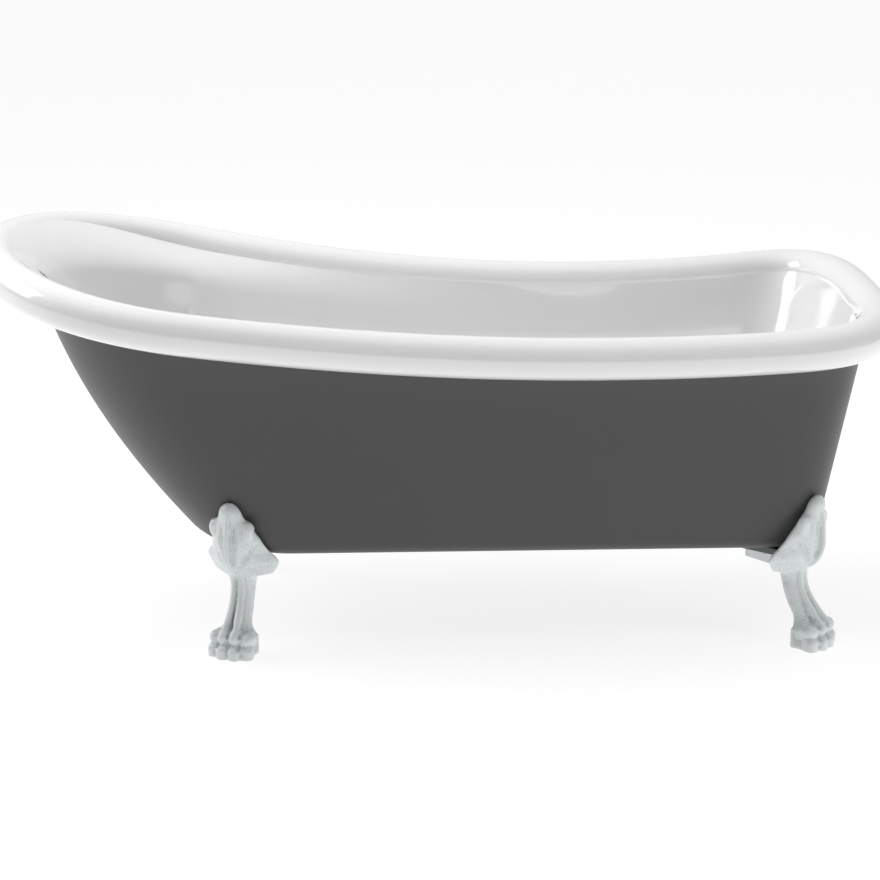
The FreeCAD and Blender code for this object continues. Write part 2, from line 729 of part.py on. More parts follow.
def bath_pieces():
    hole = size("spigot_radius") + "floor_hole_gap"
    aperture = size("chamber_radius") + "aperture_gap"
    deep = size("floor_round")
    waste_hole = cylinder("waste_hole", hole, deep, waste_at(tub_floor() - deep.value / 2))
    over = overflow_frame()
    over_hole = cylinder("overflow_hole_tool", "overflow_hole", deep,
                         over.multiply(at(0, 0, -deep.value / 2)))
    tub = cut("inner_tub", feature("tub_sheet", make_tub()), waste_hole, over_hole)
    skin_tools = [cylinder("skin_aperture", aperture, deep,
                           waste_at(val("skin_bottom") - deep.value / 2))]
    board_low = val("skin_bottom") + val("skin_thickness")
    inset = val("skin_edge") + val("board_edge")
    outline = ring_wire(ring_points(lambda p: skin_plan(p, val("skin_bottom"), inset) +
                                    V(0, 0, val("skin_thickness"))))
    board = feature("board_sheet", Part.Face(outline).extrude(V(0, 0, val("board_thickness"))))
    board_tools = [cylinder("board_aperture", aperture, deep, waste_at(board_low - deep.value / 3))]
    slot = size("hose_radius") * 2 + "aperture_gap"
    board_tools.append(box("hose_slot", size("skin_tap_x"), slot, deep,
                           at(val("waste_x"), -slot.value / 2, board_low - deep.value / 3)))
    for corner, end, side in CORNERS:
        frame = corner_frame(end, side)
        spot = frame.multiply(at(-val("bolt_reach"), 0, val("skin_bottom") - deep.value / 3))
        skin_tools.append(cylinder(corner + "_skin_hole", size("bolt_radius") + "bolt_hole_gap",
                                   deep, spot))
        board_tools.append(cylinder(corner + "_board_hole",
                                    size("insert_radius") + "thread_gap", deep, spot))
        for number, (reach, across) in enumerate(screw_places()):
            spot = frame.multiply(at(-reach, across, val("skin_bottom") - deep.value / 3))
            name = "%s_%d" % (corner, number)
            skin_tools.append(cylinder(name + "_skin_pilot", size("screw_radius") + "thread_gap",
                                       deep, spot))
            board_tools.append(cylinder(name + "_board_pilot", size("screw_radius") + "thread_gap",
                                        deep, spot))
    skin = cut("outer_shell", feature("skin_sheet", make_skin()), *skin_tools)
    board = cut("base_board", board, *board_tools)
    return [tub, skin, board]


# ---------------------------------------------------------------- feet

def screw_places():
    side = val("screw_side")
    return [(val("screw_near"), side), (val("screw_near"), -side),
            (val("screw_far"), side), (val("screw_far"), -side)]


def casting_scale():
    """The slices and toes are drawn for one height of foot and grow with it."""
    return val("foot_height") / FOOT_SLICES[-1][0]


def foot_slice(row):
    """One level slice of the casting: four bowed quarters between ridge, edges and back."""
    z, front, edge_out, edge_half, back = [length * casting_scale() for length in row[:5]]
    front_square, back_square = row[5:]
    edges = []
    corners = [V(front, 0, z), V(edge_out, edge_half, z), V(back, 0, z), V(edge_out, -edge_half, z)]
    square = [(V(front, edge_half, z), front_square), (V(back, edge_half, z), back_square),
              (V(back, -edge_half, z), back_square), (V(front, -edge_half, z), front_square)]
    for k in range(4):
        start = corners[k]
        end = corners[(k + 1) % 4]
        point, share = square[k]
        middle = (start + end) * 0.5
        middle = middle + (point - middle) * share
        curve = Part.BSplineCurve()
        curve.interpolate([start, middle, end])
        edges.append(curve.toShape())
    return Part.Wire(edges)


def make_casting():
    solid = Part.makeLoft([foot_slice(row) for row in FOOT_SLICES], True, False)
    pieces = []
    for across, tip, knuckle in TOES:
        for side in (-1, 1):
            pieces.append(ellipsoid((tip, side * across, TOE_TIP_HEIGHT), TOE_TIP))
            pieces.append(ellipsoid((knuckle, side * across, TOE_KNUCKLE_HEIGHT), TOE_KNUCKLE))
    solid = solid.fuse(pieces)
    reach = 2 * val("foot_height")
    below = Part.makeBox(reach, reach, reach, V(-reach / 2, -reach / 2, val("sole_height") - reach))
    return solid.cut(below).removeSplitter()


def ellipsoid(centre, radii):
    ball = Part.makeSphere(1.0)
    matrix = FreeCAD.Matrix()
    matrix.scale(V(*radii) * casting_scale())
    ball = ball.transformGeometry(matrix)
    ball.translate(V(*centre) * casting_scale())
    return ball


def foot_pieces():
    made = []
    envelope = make_skin_envelope()
    casting = make_casting()
    lug_top = val("skin_bottom") - val("bracket_sheet")
    for end in ("head", "tap"):
        frame = foot_frame(end)
        raw = feature(end + "_casting", casting.copy())
        raw.Placement = frame
        lug = box(end + "_lug", "lug_reach", "lug_width", "lug_thickness",
                  frame.multiply(at(-val("lug_reach"), -val("lug_width") / 2,
                                    lug_top - val("lug_thickness"))))
        whole = fuse(end + "_foot_whole", [raw, lug])
        room = feature(end + "_room", envelope.copy())
        sole = val("sole_height")
        tools = [
            room,
            cylinder(end + "_lug_hole", size("bolt_radius") + "bolt_hole_gap",
                     size("lug_thickness") * 3,
                     frame.multiply(at(-val("bolt_reach"), 0, lug_top - 2 * val("lug_thickness")))),
            cylinder(end + "_recess", size("pad_radius") + "pad_gap",
                     size("recess_height") + "sole_height",
                     frame.multiply(at(val("leveller_reach"), 0, -sole))),
            cylinder(end + "_stud_bore", size("stud_radius") + "stud_gap",
                     size("stud_length") + "pad_height",
                     frame.multiply(at(val("leveller_reach"), 0, 1.0))),
        ]
        near = cut("claw_foot_" + end + "_near", whole, *tools)
        far = doc.addObject("Part::Mirroring", "claw_foot_" + end + "_far")
        far.Source = near
        far.Normal = V(0, 1, 0)
        far.Label = "claw_foot_" + end + "_far"
        made += [near, far]
    return made


def make_bracket(corner, frame):
    """Pressed channel, open below, on the underside of the bath."""
    length = size("bracket_end") - "bracket_start"
    half = size("lug_width") / 2 + "lug_gap" + "bracket_sheet"
    sheet_size = size("bracket_sheet")
    depth = size("bracket_depth")
    body = new_body("foot_bracket_" + corner,
                    frame.multiply(at(-val("bracket_end"), 0, val("skin_bottom") - depth.value)))
    sketch = new_sketch(body, corner + "_channel", "YZ_Plane")
    draw_polygon(sketch, [(half * -1.0, 0), (half * -1.0, depth), (half, depth), (half, 0),
                          (half - sheet_size, 0), (half - sheet_size, depth - sheet_size),
                          ((half - sheet_size) * -1.0, depth - sheet_size),
                          ((half - sheet_size) * -1.0, 0)])
    add_pad(body, sketch, length, corner + "_channel_pad")
    holes = new_sketch(body, corner + "_holes", "XY_Plane")
    draw_circle(holes, size("bolt_radius") + "bolt_hole_gap", size("bracket_end") - "bolt_reach", 0)
    for reach in ("screw_near", "screw_far"):
        for sign in (1.0, -1.0):
            draw_circle(holes, size("screw_radius") + "thread_gap",
                        size("bracket_end") - reach, size("screw_side") * sign)
    pocket = body.newObject("PartDesign::Pocket", corner + "_holes_cut")
    pocket.Profile = holes
    pocket.Type = "ThroughAll"
    pocket.Reversed = True
    return body


def bracket_pieces():
    made = []
    bolts = []
    washers = []
    inserts = []
    screws = []
    lug_low = val("skin_bottom") - val("bracket_sheet") - val("lug_thickness")
    board_low = val("skin_bottom") + val("skin_thickness")
    for corner, end, side in CORNERS:
        frame = corner_frame(end, side)
        bracket = make_bracket(corner, frame)
        sinks = []
        depth = size("screw_head") - "screw_radius"
        web_low = val("skin_bottom") - val("bracket_sheet")
        for number, (reach, across) in enumerate(screw_places()):
            name = "%s_%d" % (corner, number)
            head_spot = frame.multiply(at(-reach, across, web_low))
            sinks.append(cone(name + "_sink", size("screw_head") + "thread_gap",
                              size("screw_radius") + "thread_gap", depth, head_spot))
            shank = cylinder(name + "_shank", "screw_radius", "screw_length", head_spot)
            head = cone(name + "_head", "screw_head", "screw_radius", depth, head_spot)
            screws.append(fuse(name + "_screw", [shank, head]))
        plate = cut("foot_bracket_" + corner + "_sunk", bracket, *sinks)
        bracket.Label = corner + "_bracket_body"
        plate.Label = "foot_bracket_" + corner
        made.append(plate)
        spot = frame.multiply(at(-val("bolt_reach"), 0, 0))
        washer_low = lug_low - val("washer_thickness")
        head_low = washer_low - val("bolt_head")
        ring = cylinder(corner + "_washer_disc", "washer_radius", "washer_thickness",
                        spot.multiply(at(0, 0, washer_low)))
        eye = cylinder(corner + "_washer_eye", size("bolt_radius") + "bolt_hole_gap",
                       size("washer_thickness") * 3,
                       spot.multiply(at(0, 0, washer_low - val("washer_thickness"))))
        washers.append(cut(corner + "_washer", ring, eye))
        head = hexagon(corner + "_bolt_head", "bolt_flats", "bolt_head",
                       spot.multiply(at(0, 0, head_low)))
        shank = cylinder(corner + "_bolt_shank", "bolt_radius",
                         size("washer_thickness") + "lug_thickness" + "bracket_sheet"
                         + "skin_thickness" + "insert_length",
                         spot.multiply(at(0, 0, washer_low)))
        bolts.append(fuse(corner + "_bolt", [head, shank]))
        sleeve = cylinder(corner + "_insert_sleeve", "insert_radius", "insert_length",
                          spot.multiply(at(0, 0, board_low)))
        bore = cylinder(corner + "_insert_bore", size("bolt_radius") + "thread_gap",
                        size("insert_length") * 2,
                        spot.multiply(at(0, 0, board_low - val("insert_length") / 2)))
        inserts.append(cut(corner + "_insert", sleeve, bore))
    made.append(group("foot_bolts", bolts))
    made.append(group("foot_washers", washers))
    made.append(group("foot_inserts", inserts))
    made.append(group("bracket_screws", screws))
    return made


def cone(name, low, high, height, placement):
    item = doc.addObject("Part::Cone", name)
    bind(item, Radius1=low, Radius2=high, Height=height)
    item.Placement = placement
    return item


def leveller_pieces():
    made = []
    nuts = []
    for corner, end, side in CORNERS:
        spot = corner_frame(end, side).multiply(at(val("leveller_reach"), 0, 0))
        made.append(turned("leveller_pad_" + corner, [
            (0, 0), (size("pad_radius") - 1, 0), ("pad_radius", 1), ("pad_radius", 3.5),
            (size("stud_radius") + 2, "pad_height"), (0, "pad_height")], spot))
        stud = turned("leveller_stud_" + corner, [
            (0, 0), ("stud_radius", 0), ("stud_radius", size("stud_length") - 1),
            (size("stud_radius") - 1, "stud_length"), (0, "stud_length")],
            spot.multiply(at(0, 0, val("pad_height"))))
        made.append(stud)
        low = val("recess_height") - val("nut_height")
        blank = hexagon(corner + "_nut_blank", "nut_flats", "nut_height",
                        spot.multiply(at(0, 0, low)))
        eye = cylinder(corner + "_nut_eye", size("stud_radius") + "stud_gap",
                       size("nut_height") * 3, spot.multiply(at(0, 0, low - val("nut_height"))))
        nuts.append(cut(corner + "_nut", blank, eye))
    made.append(group("leveller_lock_nuts", nuts))
    return made


# ---------------------------------------------------------------- waste and plug

def waste_pieces():
    floor = tub_floor()
    seal = size("seal_thickness")
    lip = size("flange_lip")
    spigot = size("spigot_radius")
    bore = size("spigot_bore")
    lip_low = floor + seal.value
    length = size(lip_low) - "spigot_end"
    top = length + lip
    free = size("spigot_free")
    relief = size("thread_relief")
    seat = size("seat_depth")
    flange = turned("waste_flange_body", [
        (bore, 0), (spigot, 0), (spigot, free), (spigot - relief / 2, free),
        (spigot - relief / 2, free + relief), (spigot, free + relief), (spigot, length),
        ("flange_radius", length), ("flange_radius", top - 1.5),
        (size("flange_radius") - 1.5, top), ("seat_radius", top),
        (size("seat_radius") - 2, top - seat), (bore, top - seat)], waste_at(val("spigot_end")))
    spider_low = lip_low + lip.value - val("spider_drop") - val("spider_height")
    boss = cylinder("waste_boss", "boss_radius", "spider_height", waste_at(spider_low))
    ribs = []
    for turn in (90, 210, 330):
        frame = at(val("waste_x"), 0, spider_low, FreeCAD.Rotation(V(0, 0, 1), turn))
        ribs.append(box("waste_rib_%d" % turn, bore + 1.0, "rib_width", "spider_height",
                        frame.multiply(at(0, -val("rib_width") / 2, 0))))
    whole = fuse("waste_flange_whole", [flange, boss] + ribs)
    chamber_top = floor - val("tub_thickness") - val("chamber_seal")
    chamber_low = chamber_top - val("chamber_height")
    middle = (chamber_top + chamber_low) / 2
    tools = [cylinder("cartridge_hole", size("cartridge_radius") + "thread_gap",
                      size("spider_height") * 3, waste_at(spider_low - val("spider_height")))]
    for turn in (0, 60, 120):
        frame = at(val("waste_x"), 0, middle, FreeCAD.Rotation(V(0, 0, 1), turn))
        hole = cylinder("overflow_port_%d" % turn, size("chamber_height") / 5, spigot * 3,
                        frame.multiply(at(-1.5 * spigot.value, 0, 0,
                                          FreeCAD.Rotation(V(0, 1, 0), 90))))
        tools.append(hole)
    core = cylinder("port_core", size("boss_radius") + 2, size("chamber_height") * 2,
                    waste_at(middle - val("chamber_height")))
    ports = fuse("overflow_ports", tools[1:])
    ports = cut("overflow_ports_clear", ports, core)
    made = [cut("waste_flange", whole, tools[0], ports)]

    made.append(washer_body("flange_seal", size("flange_radius") - 2,
                            spigot + "floor_hole_gap", seal, waste_at(floor)))
    ring = size("chamber_seal_radius")
    gap = size("thread_gap")
    made.append(washer_body("chamber_seal_top", ring, spigot + 0.2, "chamber_seal",
                            waste_at(chamber_top)))
    wall = size("chamber_wall")
    high = size("chamber_height")
    shell = turned("overflow_chamber_body", [
        (spigot + gap, 0), ("chamber_radius", 0), ("chamber_radius", high), (spigot + gap, high),
        (spigot + gap, high - wall), (size("chamber_radius") - wall, high - wall),
        (size("chamber_radius") - wall, wall), (spigot + gap, wall)], waste_at(chamber_low))
    along = FreeCAD.Rotation(V(0, 1, 0), 90)
    reach = val("chamber_radius") - val("chamber_wall") / 2
    port = cylinder("chamber_port", "port_radius", size("port_length") + wall / 2,
                    at(val("waste_x") + reach, 0, middle, along))
    inlet = cylinder("chamber_port_bore", "port_bore", size("port_length") * 2,
                     at(val("waste_x") + reach - val("chamber_wall"), 0, middle, along))
    made.append(cut("overflow_chamber", fuse("overflow_chamber_whole", [shell, port]), inlet))
    low_seal = chamber_low - val("chamber_seal")
    made.append(washer_body("chamber_seal_bottom", ring, spigot + 0.2, "chamber_seal",
                            waste_at(low_seal)))
    nut_low = low_seal - val("backnut_height")
    nut = washer_body("waste_backnut_body", "backnut_radius", spigot + gap, "backnut_height",
                      waste_at(nut_low))
    notches = []
    for number in range(8):
        frame = at(val("waste_x"), 0, nut_low, FreeCAD.Rotation(V(0, 0, 1), 45 * number))
        notches.append(cylinder("backnut_notch_%d" % number, size("backnut_height") / 4,
                                size("backnut_height") * 0.7,
                                frame.multiply(at(val("backnut_radius") + 0.5, 0, -0.5))))
    made.append(cut("waste_backnut", nut, *notches))

    flange_top = lip_low + lip.value
    cap_low = flange_top + val("cap_gap")
    stem_low = cap_low - val("stem_length")
    spider_top = flange_top - val("spider_drop")
    cartridge_low = spider_top + val("cartridge_rim") - val("cartridge_length")
    sleeve = size("stem_radius") + "stem_gap"
    collar = size("cartridge_radius") + "cartridge_rim_reach"
    shoulder = size("cartridge_length") - "cartridge_rim"
    made.append(turned("plug_cartridge", [
        (sleeve, "cartridge_base"), (sleeve, "cartridge_length"), (collar, "cartridge_length"),
        (collar, shoulder), ("cartridge_radius", shoulder), ("cartridge_radius", 0), (0, 0),
        (0, "cartridge_base")], waste_at(cartridge_low)))
    made.append(turned("plug_stem", [
        (0, 0), ("stem_radius", 0), ("stem_radius", "stem_length"), (0, "stem_length")],
        waste_at(stem_low)))
    radius = size("cap_radius")
    edge = size("cap_edge")
    made.append(turned("plug_cap", [
        (0, 0), (radius - 1, 0), (radius, 1), (radius, edge),
        (radius * 0.8, edge + size("cap_dome") * 0.55), (radius * 0.45, edge + size("cap_dome") * 0.9),
        (0, edge + "cap_dome")], waste_at(cap_low)))
    seal_height = seat + "cap_gap" - "seat_gap"
    made.append(turned("plug_seal", [
        (size("stem_radius") + 1, 0), (size("plug_seal_radius") - 1.5, 0),
        ("plug_seal_radius", seal_height), (size("stem_radius") + 1, seal_height)],
        waste_at(cap_low - seal_height.value)))
    return made


# ---------------------------------------------------------------- overflow

def overflow_pieces():
    over = overflow_frame()
    made = []
    radius = size("cover_radius")
    deep = size("cover_depth")
    wall = size("cover_wall")
    gap = size("bond_gap")
    cover = turned("overflow_cover_body", [
        (0, deep - wall), (radius - wall, deep - wall), (radius - wall, 0), (radius, 0),
        (radius, deep - wall), (radius - wall, deep),
        (radius * 0.5, deep + size("cover_dome") * 0.75), (0, deep + "cover_dome")],
        over.multiply(at(0, 0, gap.value)))
    slots = []
    for number in range(7):
        turn = FreeCAD.Rotation(V(0, 0, 1), 120 + 20 * number)
        slots.append(box("cover_slot_%d" % number, radius, "cover_slot",
                         deep - wall - "cover_slot_land" + wall / 2,
                         over.multiply(at(0, 0, 0, turn)).multiply(
                             at(radius.value / 2, -val("cover_slot") / 2,
                                gap.value - wall.value / 2))))
    eye = cylinder("cover_eye", size("cover_screw") + 0.2, deep * 3,
                   over.multiply(at(0, 0, -deep.value)))
    made.append(cut("overflow_cover", cover, eye, *slots))

    thick = size("tub_thickness")
    made.append(washer_body("overflow_seal_ring", size("elbow_radius") - 1, "overflow_hole",
                            "overflow_seal",
                            over.multiply(at(0, 0, -thick.value - val("overflow_seal") - 0.2))))
    made[-1].Label = "overflow_seal"
    back = -thick.value - val("overflow_seal") - 0.2
    flange = size("elbow_flange")
    depth = size("elbow_depth")
    body = size("elbow_body")
    skin = size("elbow_wall")
    pot = turned("overflow_pot", [
        (0, 0), (body, 0), (body, depth), ("elbow_radius", depth),
        ("elbow_radius", depth + flange), (body - skin, depth + flange), (body - skin, skin),
        (0, skin)], over.multiply(at(0, 0, back - flange.value - depth.value)))
    middle = back - flange.value - val("elbow_depth") + val("port_radius") + 0.5
    down = FreeCAD.Rotation(V(0, 1, 0), -90)
    outlet = cylinder("elbow_outlet_tube", "port_radius", "elbow_outlet",
                      over.multiply(at(0, 0, middle, down)))
    scoop = cylinder("elbow_scoop", body - skin, depth + flange,
                     over.multiply(at(0, 0, back - flange.value - depth.value + skin.value)))
    bore = cylinder("elbow_outlet_bore", "port_bore", size("elbow_outlet") + 1,
                    over.multiply(at(0, 0, middle, down)))
    post = cylinder("elbow_post", size("cover_screw") * 2, depth - 1.5,
                    over.multiply(at(0, 0, back - flange.value - depth.value + 0.5)))
    post_hole = cylinder("elbow_post_hole", size("cover_screw") + "thread_gap", depth,
                         over.multiply(at(0, 0, back - flange.value - depth.value
                                          + val("post_floor"))))
    shell = cut("elbow_shell", fuse("elbow_whole", [pot, outlet]), scoop, bore)
    made.append(cut("overflow_elbow", fuse("elbow_with_post", [shell, post]), post_hole))

    shank_low = back - flange.value - depth.value + val("cover_screw_free")
    seat = gap + deep + "cover_dome" + NUDGE - shank_low
    crown = size("cover_screw_head")
    made.append(turned("overflow_screw", [
        (0, 0), ("cover_screw", 0), ("cover_screw", seat), (size("cover_screw") * 2, seat),
        (size("cover_screw") * 2, seat + crown / 2), ("cover_screw", seat + crown),
        (0, seat + crown)], over.multiply(at(0, 0, shank_low))))
    made += hose_pieces(over, middle, down)
    return made


def hose_pieces(over, middle, down):
    """Hose from the elbow, down behind the tap-end wall and in under the tub floor."""
    chamber_top = tub_floor() - val("tub_thickness") - val("chamber_seal")
    port_z = chamber_top - val("chamber_height") / 2
    shoulder = over.multiply(at(0, 0, middle, down)).multiply(
        at(0, 0, val("elbow_radius") + val("bond_gap")))
    start = shoulder.Base
    way = shoulder.Rotation.multVec(V(0, 0, 1))
    port = V(val("waste_x") + val("chamber_radius") + val("hose_end"), 0, port_z)
    corner = start + way * ((port_z - start.z) / way.z)
    bend = val("hose_bend")
    turn = way.getAngle(V(-1, 0, 0))
    back_off = bend * math.tan(turn / 2)
    bend_in = corner - way * back_off
    bend_out = corner + V(-1, 0, 0) * back_off
    inwards = V(-way.z, 0, way.x)
    if inwards.dot(V(-1, 0, 0)) < 0:
        inwards = inwards * -1
    centre = bend_in + inwards * bend
    half = (bend_in - centre).normalize() + (bend_out - centre).normalize()
    middle_point = centre + half.normalize() * bend
    path = Part.Wire([Part.LineSegment(start, bend_in).toShape(),
                      Part.Arc(bend_in, middle_point, bend_out).toShape(),
                      Part.LineSegment(bend_out, port).toShape()])
    solids = []
    for radius in ("hose_radius", "hose_bore"):
        ring = Part.Wire([Part.makeCircle(val(radius), start, way)])
        solids.append(path.makePipeShell([ring], True, False))
    hose = feature("overflow_hose", solids[0].cut(solids[1]))
    clips = []
    for name, spot, rotation in (
            ("top", start + way * (val("clip_width") / 2), shoulder.Rotation),
            ("low", port + V(val("clip_width") / 2, 0, 0), FreeCAD.Rotation(V(0, 1, 0), 90))):
        place = FreeCAD.Placement(spot, rotation)
        outer = cylinder(name + "_clip_outer", size("hose_radius") + "thread_gap" + "clip_sheet",
                         "clip_width", place)
        inner = cylinder(name + "_clip_inner", size("hose_radius") + "thread_gap",
                         size("clip_width") * 3,
                         place.multiply(at(0, 0, -val("clip_width"))))
        clips.append(cut(name + "_clip", outer, inner))
    return [hose, group("hose_clips", clips)]


# ---------------------------------------------------------------- build and write

def check(nodes):
    doc.recompute()
    for item in doc.Objects:
        if "Invalid" in item.State or "Error" in item.State:
            raise RuntimeError("%s did not build: %s" % (item.Label, item.State))
    for node in nodes:
        shape = node.Shape
        if shape.isNull() or not shape.isValid():
            raise RuntimeError("%s has no valid shape" % node.Label)
        if not shape.Solids:
            raise RuntimeError("%s has no solid" % node.Label)


def main():
    nodes = bath_pieces() + foot_pieces() + bracket_pieces() + leveller_pieces()
    nodes += waste_pieces() + overflow_pieces()
    check(nodes)
    os.makedirs("parts", exist_ok=True)
    for node in nodes:
        node.Shape.exportStep("parts/%s.step" % node.Label)
        solids = len(node.Shape.Solids)
        print("%-26s %2d solid %12.1f mm3" % (node.Label, solids, node.Shape.Volume))
    print(len(nodes), "nodes")


main()
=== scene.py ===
"""Claw-foot slipper bath: finished surfaces round the fixed CAD frame. All lengths in metres."""
import json
import math

import bpy
import numpy as np
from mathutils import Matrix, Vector


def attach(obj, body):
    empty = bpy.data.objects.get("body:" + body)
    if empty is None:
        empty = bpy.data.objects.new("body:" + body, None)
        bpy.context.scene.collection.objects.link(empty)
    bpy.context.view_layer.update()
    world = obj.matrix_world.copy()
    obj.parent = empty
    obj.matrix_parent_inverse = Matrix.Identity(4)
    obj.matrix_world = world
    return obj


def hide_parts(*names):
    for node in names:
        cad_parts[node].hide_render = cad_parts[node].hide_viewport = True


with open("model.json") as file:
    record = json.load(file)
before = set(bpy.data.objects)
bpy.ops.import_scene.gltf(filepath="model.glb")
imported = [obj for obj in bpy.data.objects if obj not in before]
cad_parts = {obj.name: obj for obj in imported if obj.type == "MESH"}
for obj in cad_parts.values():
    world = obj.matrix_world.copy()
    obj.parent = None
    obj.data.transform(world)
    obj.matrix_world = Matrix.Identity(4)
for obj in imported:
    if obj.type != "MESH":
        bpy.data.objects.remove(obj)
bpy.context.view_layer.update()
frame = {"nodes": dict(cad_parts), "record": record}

# ------------------------------------------------------------------ sizes
# the same driving sizes as the solids, here in metres; only the roll's lean fades more slowly
HALF_RUN = 0.812
ROLL = 0.038
RIM_LOW = 0.5735
RIM_LOW_X = 0.280
HEAD_RISE = 0.1392
TAP_RISE = 0.0329
HEAD_CLIMB = 1.9
TAP_CLIMB = 2.2
RIM_HALF_WIDTH = 0.3238
RIM_FLARE = 0.909
RIM_HEAD_END = 0.375
RIM_TAP_END = 0.213
HEAD_LEAN = 50.0
LEAN_FADE = 0.8
SKIN_BOTTOM = 0.1824
SKIN_HALF_WIDTH = 0.236
SKIN_SIDE_SLOPE = 0.206
SKIN_HEAD_X = 0.4562
SKIN_HEAD_SLOPE = 0.919
SKIN_HEAD_CURVE = 0.678
SKIN_TAP_X = 0.7231
SKIN_TAP_SLOPE = 0.173
SKIN_HEAD_END = 0.1885
SKIN_HEAD_GROW = 0.35
SKIN_TAP_END = 0.1195
SKIN_TAP_GROW = 0.1
SKIN_EDGE = 0.022
SKIN_SHEET = 0.005
TUB_SHEET = 0.006
BOARD = 0.024
SKIN_GAP = 0.027
SIDE_LEAN = 0.0325
TAP_LEAN = 0.1
TUB_TAP_END = 0.100
CORNER_SHARE = 0.5
FLOOR_ROUND = 0.060
FLARE_START = 0.8
# the backrest is dished behind the end of each side wall: depth, place and lean of its upright
# edge, the lengths over which it turns in and fades out, and where it starts and stops going up,
# in shares of the wall's height
DISH = 0.012
DISH_EDGE_X = -0.456
DISH_EDGE_Z = 0.600
DISH_EDGE_LEAN = 0.167
DISH_TURN = 0.014
DISH_FADE = 0.19
DISH_LOW = 0.05
DISH_LOW_TURN = 0.3
DISH_HIGH = 0.62
DISH_HIGH_TURN = 0.26
BOND_GAP = 0.0004
HEAD_POWER = 2.0
TAP_POWER = 3.1
WASTE_X = 0.520
WASTE_HOLE = 0.0259
APERTURE = 0.042
TUB_FLOOR = SKIN_BOTTOM + SKIN_SHEET + BOARD + TUB_SHEET

# stations round the bath
TAP_STEPS = 8
SIDE_STEPS = 4
HEAD_STEPS = 8
STATIONS = 2 * (TAP_STEPS + SIDE_STEPS + HEAD_STEPS)
TAP_FINE = 44
SIDE_FINE = 50
HEAD_FINE = 120
# rings up the sheets; the hidden sides keep every fourth or fifth ring
DISC_STEPS = 6
TUB_ROUND_STEPS = 14
TUB_WALL_STEPS = 60
ROLL_STEPS = 56
SKIN_ROUND_STEPS = 10
SKIN_WALL_STEPS = 40
HIDDEN_ROLL_SKIP = 4
HIDDEN_WALL_SKIP = 5
HIDDEN_SKIN_SKIP = 4
# the crease between wall and roll is sharp up to this share of the head's lean
CREASE_SHARP = 0.85
# directions along the roll are taken between stations this far on both sides
NEARBY = 0.01


# ------------------------------------------------------------------ camera

CAMERA_PLACE = (-0.1711, -4.5078, 1.6403)
CAMERA_YAW = 2.307
CAMERA_PITCH = 16.145
CAMERA_LENS = 100.23


def make_camera():
    data = bpy.data.cameras.new("view_camera")
    data.lens = CAMERA_LENS
    data.sensor_width = 36.0
    data.sensor_fit = "HORIZONTAL"
    data.clip_end = 60.0
    camera = bpy.data.objects.new("view_camera", data)
    bpy.context.scene.collection.objects.link(camera)
    yaw = math.radians(CAMERA_YAW)
    pitch = math.radians(CAMERA_PITCH)
    level = math.cos(pitch)
    look = Vector((math.sin(yaw) * level, math.cos(yaw) * level, -math.sin(pitch)))
    camera.location = CAMERA_PLACE
    camera.rotation_euler = look.to_track_quat("-Z", "Y").to_euler()
    bpy.context.scene.camera = camera


# ------------------------------------------------------------------ outlines

def stations():
    """Station numbers all the way round, with the same fine steps on both long sides."""
    tap = np.linspace(0, TAP_STEPS, TAP_FINE + 1)
    side = np.linspace(TAP_STEPS, TAP_STEPS + SIDE_STEPS, SIDE_FINE + 1)[1:]
    head = np.linspace(TAP_STEPS + SIDE_STEPS, STATIONS / 2, HEAD_FINE + 1)[1:]
    half = np.concatenate([tap, side, head])
    return np.concatenate([half, STATIONS - half[-2:0:-1]])


def eased(value):
    value = np.clip(value, 0, 1)
    return value * value * (3 - 2 * value)


def rounded(turn, power):
    """Reach and width of a superellipse quarter of size one."""
    c = np.abs(np.cos(turn))
    s = np.abs(np.sin(turn))
    r = (c ** power + s ** power) ** (-1.0 / power)
    return c * r, s * r


def plan(p, half_width, head_x, head_end, tap_x, tap_end):
    """Points p of a bath-shaped outline, anticlockwise from the middle of the tap end."""
    p = np.mod(p, STATIONS)
    mirrored = p > STATIONS / 2
    q = np.where(mirrored, STATIONS - p, p)
    side = np.where(mirrored, -1.0, 1.0)
    tap_reach, tap_across = rounded(np.pi / 2 * np.minimum(q, TAP_STEPS) / TAP_STEPS, TAP_POWER)
    head_turn = np.pi / 2 * np.clip(STATIONS / 2 - q, 0, HEAD_STEPS) / HEAD_STEPS
    head_reach, head_across = rounded(head_turn, HEAD_POWER)
    share = np.clip((q - TAP_STEPS) / SIDE_STEPS, 0, 1)
    tap_start = tap_x - tap_end
    head_start = head_x + head_end
    x = np.where(q <= TAP_STEPS, tap_start + tap_end * tap_reach,
                 np.where(q < TAP_STEPS + SIDE_STEPS, tap_start * (1 - share) + head_start * share,
                          head_start - head_end * head_reach))
    across = np.where(q <= TAP_STEPS, tap_across,
                      np.where(q < TAP_STEPS + SIDE_STEPS, 1.0, head_across))
    return x, side * half_width * across


def head_share(p):
    """How far a station has turned into the head end, from 0 to 1."""
    p = np.mod(p, STATIONS)
    q = np.minimum(p, STATIONS - p)
    return eased((q - TAP_STEPS - SIDE_STEPS) / HEAD_STEPS / LEAN_FADE)


def sheer(x):
    """Height of the roll's centre line."""
    head = np.clip((RIM_LOW_X - x) / (RIM_LOW_X + HALF_RUN), 0, None) ** HEAD_CLIMB
    tap = np.clip((x - RIM_LOW_X) / (HALF_RUN - RIM_LOW_X), 0, None) ** TAP_CLIMB
    return RIM_LOW + HEAD_RISE * head + TAP_RISE * tap


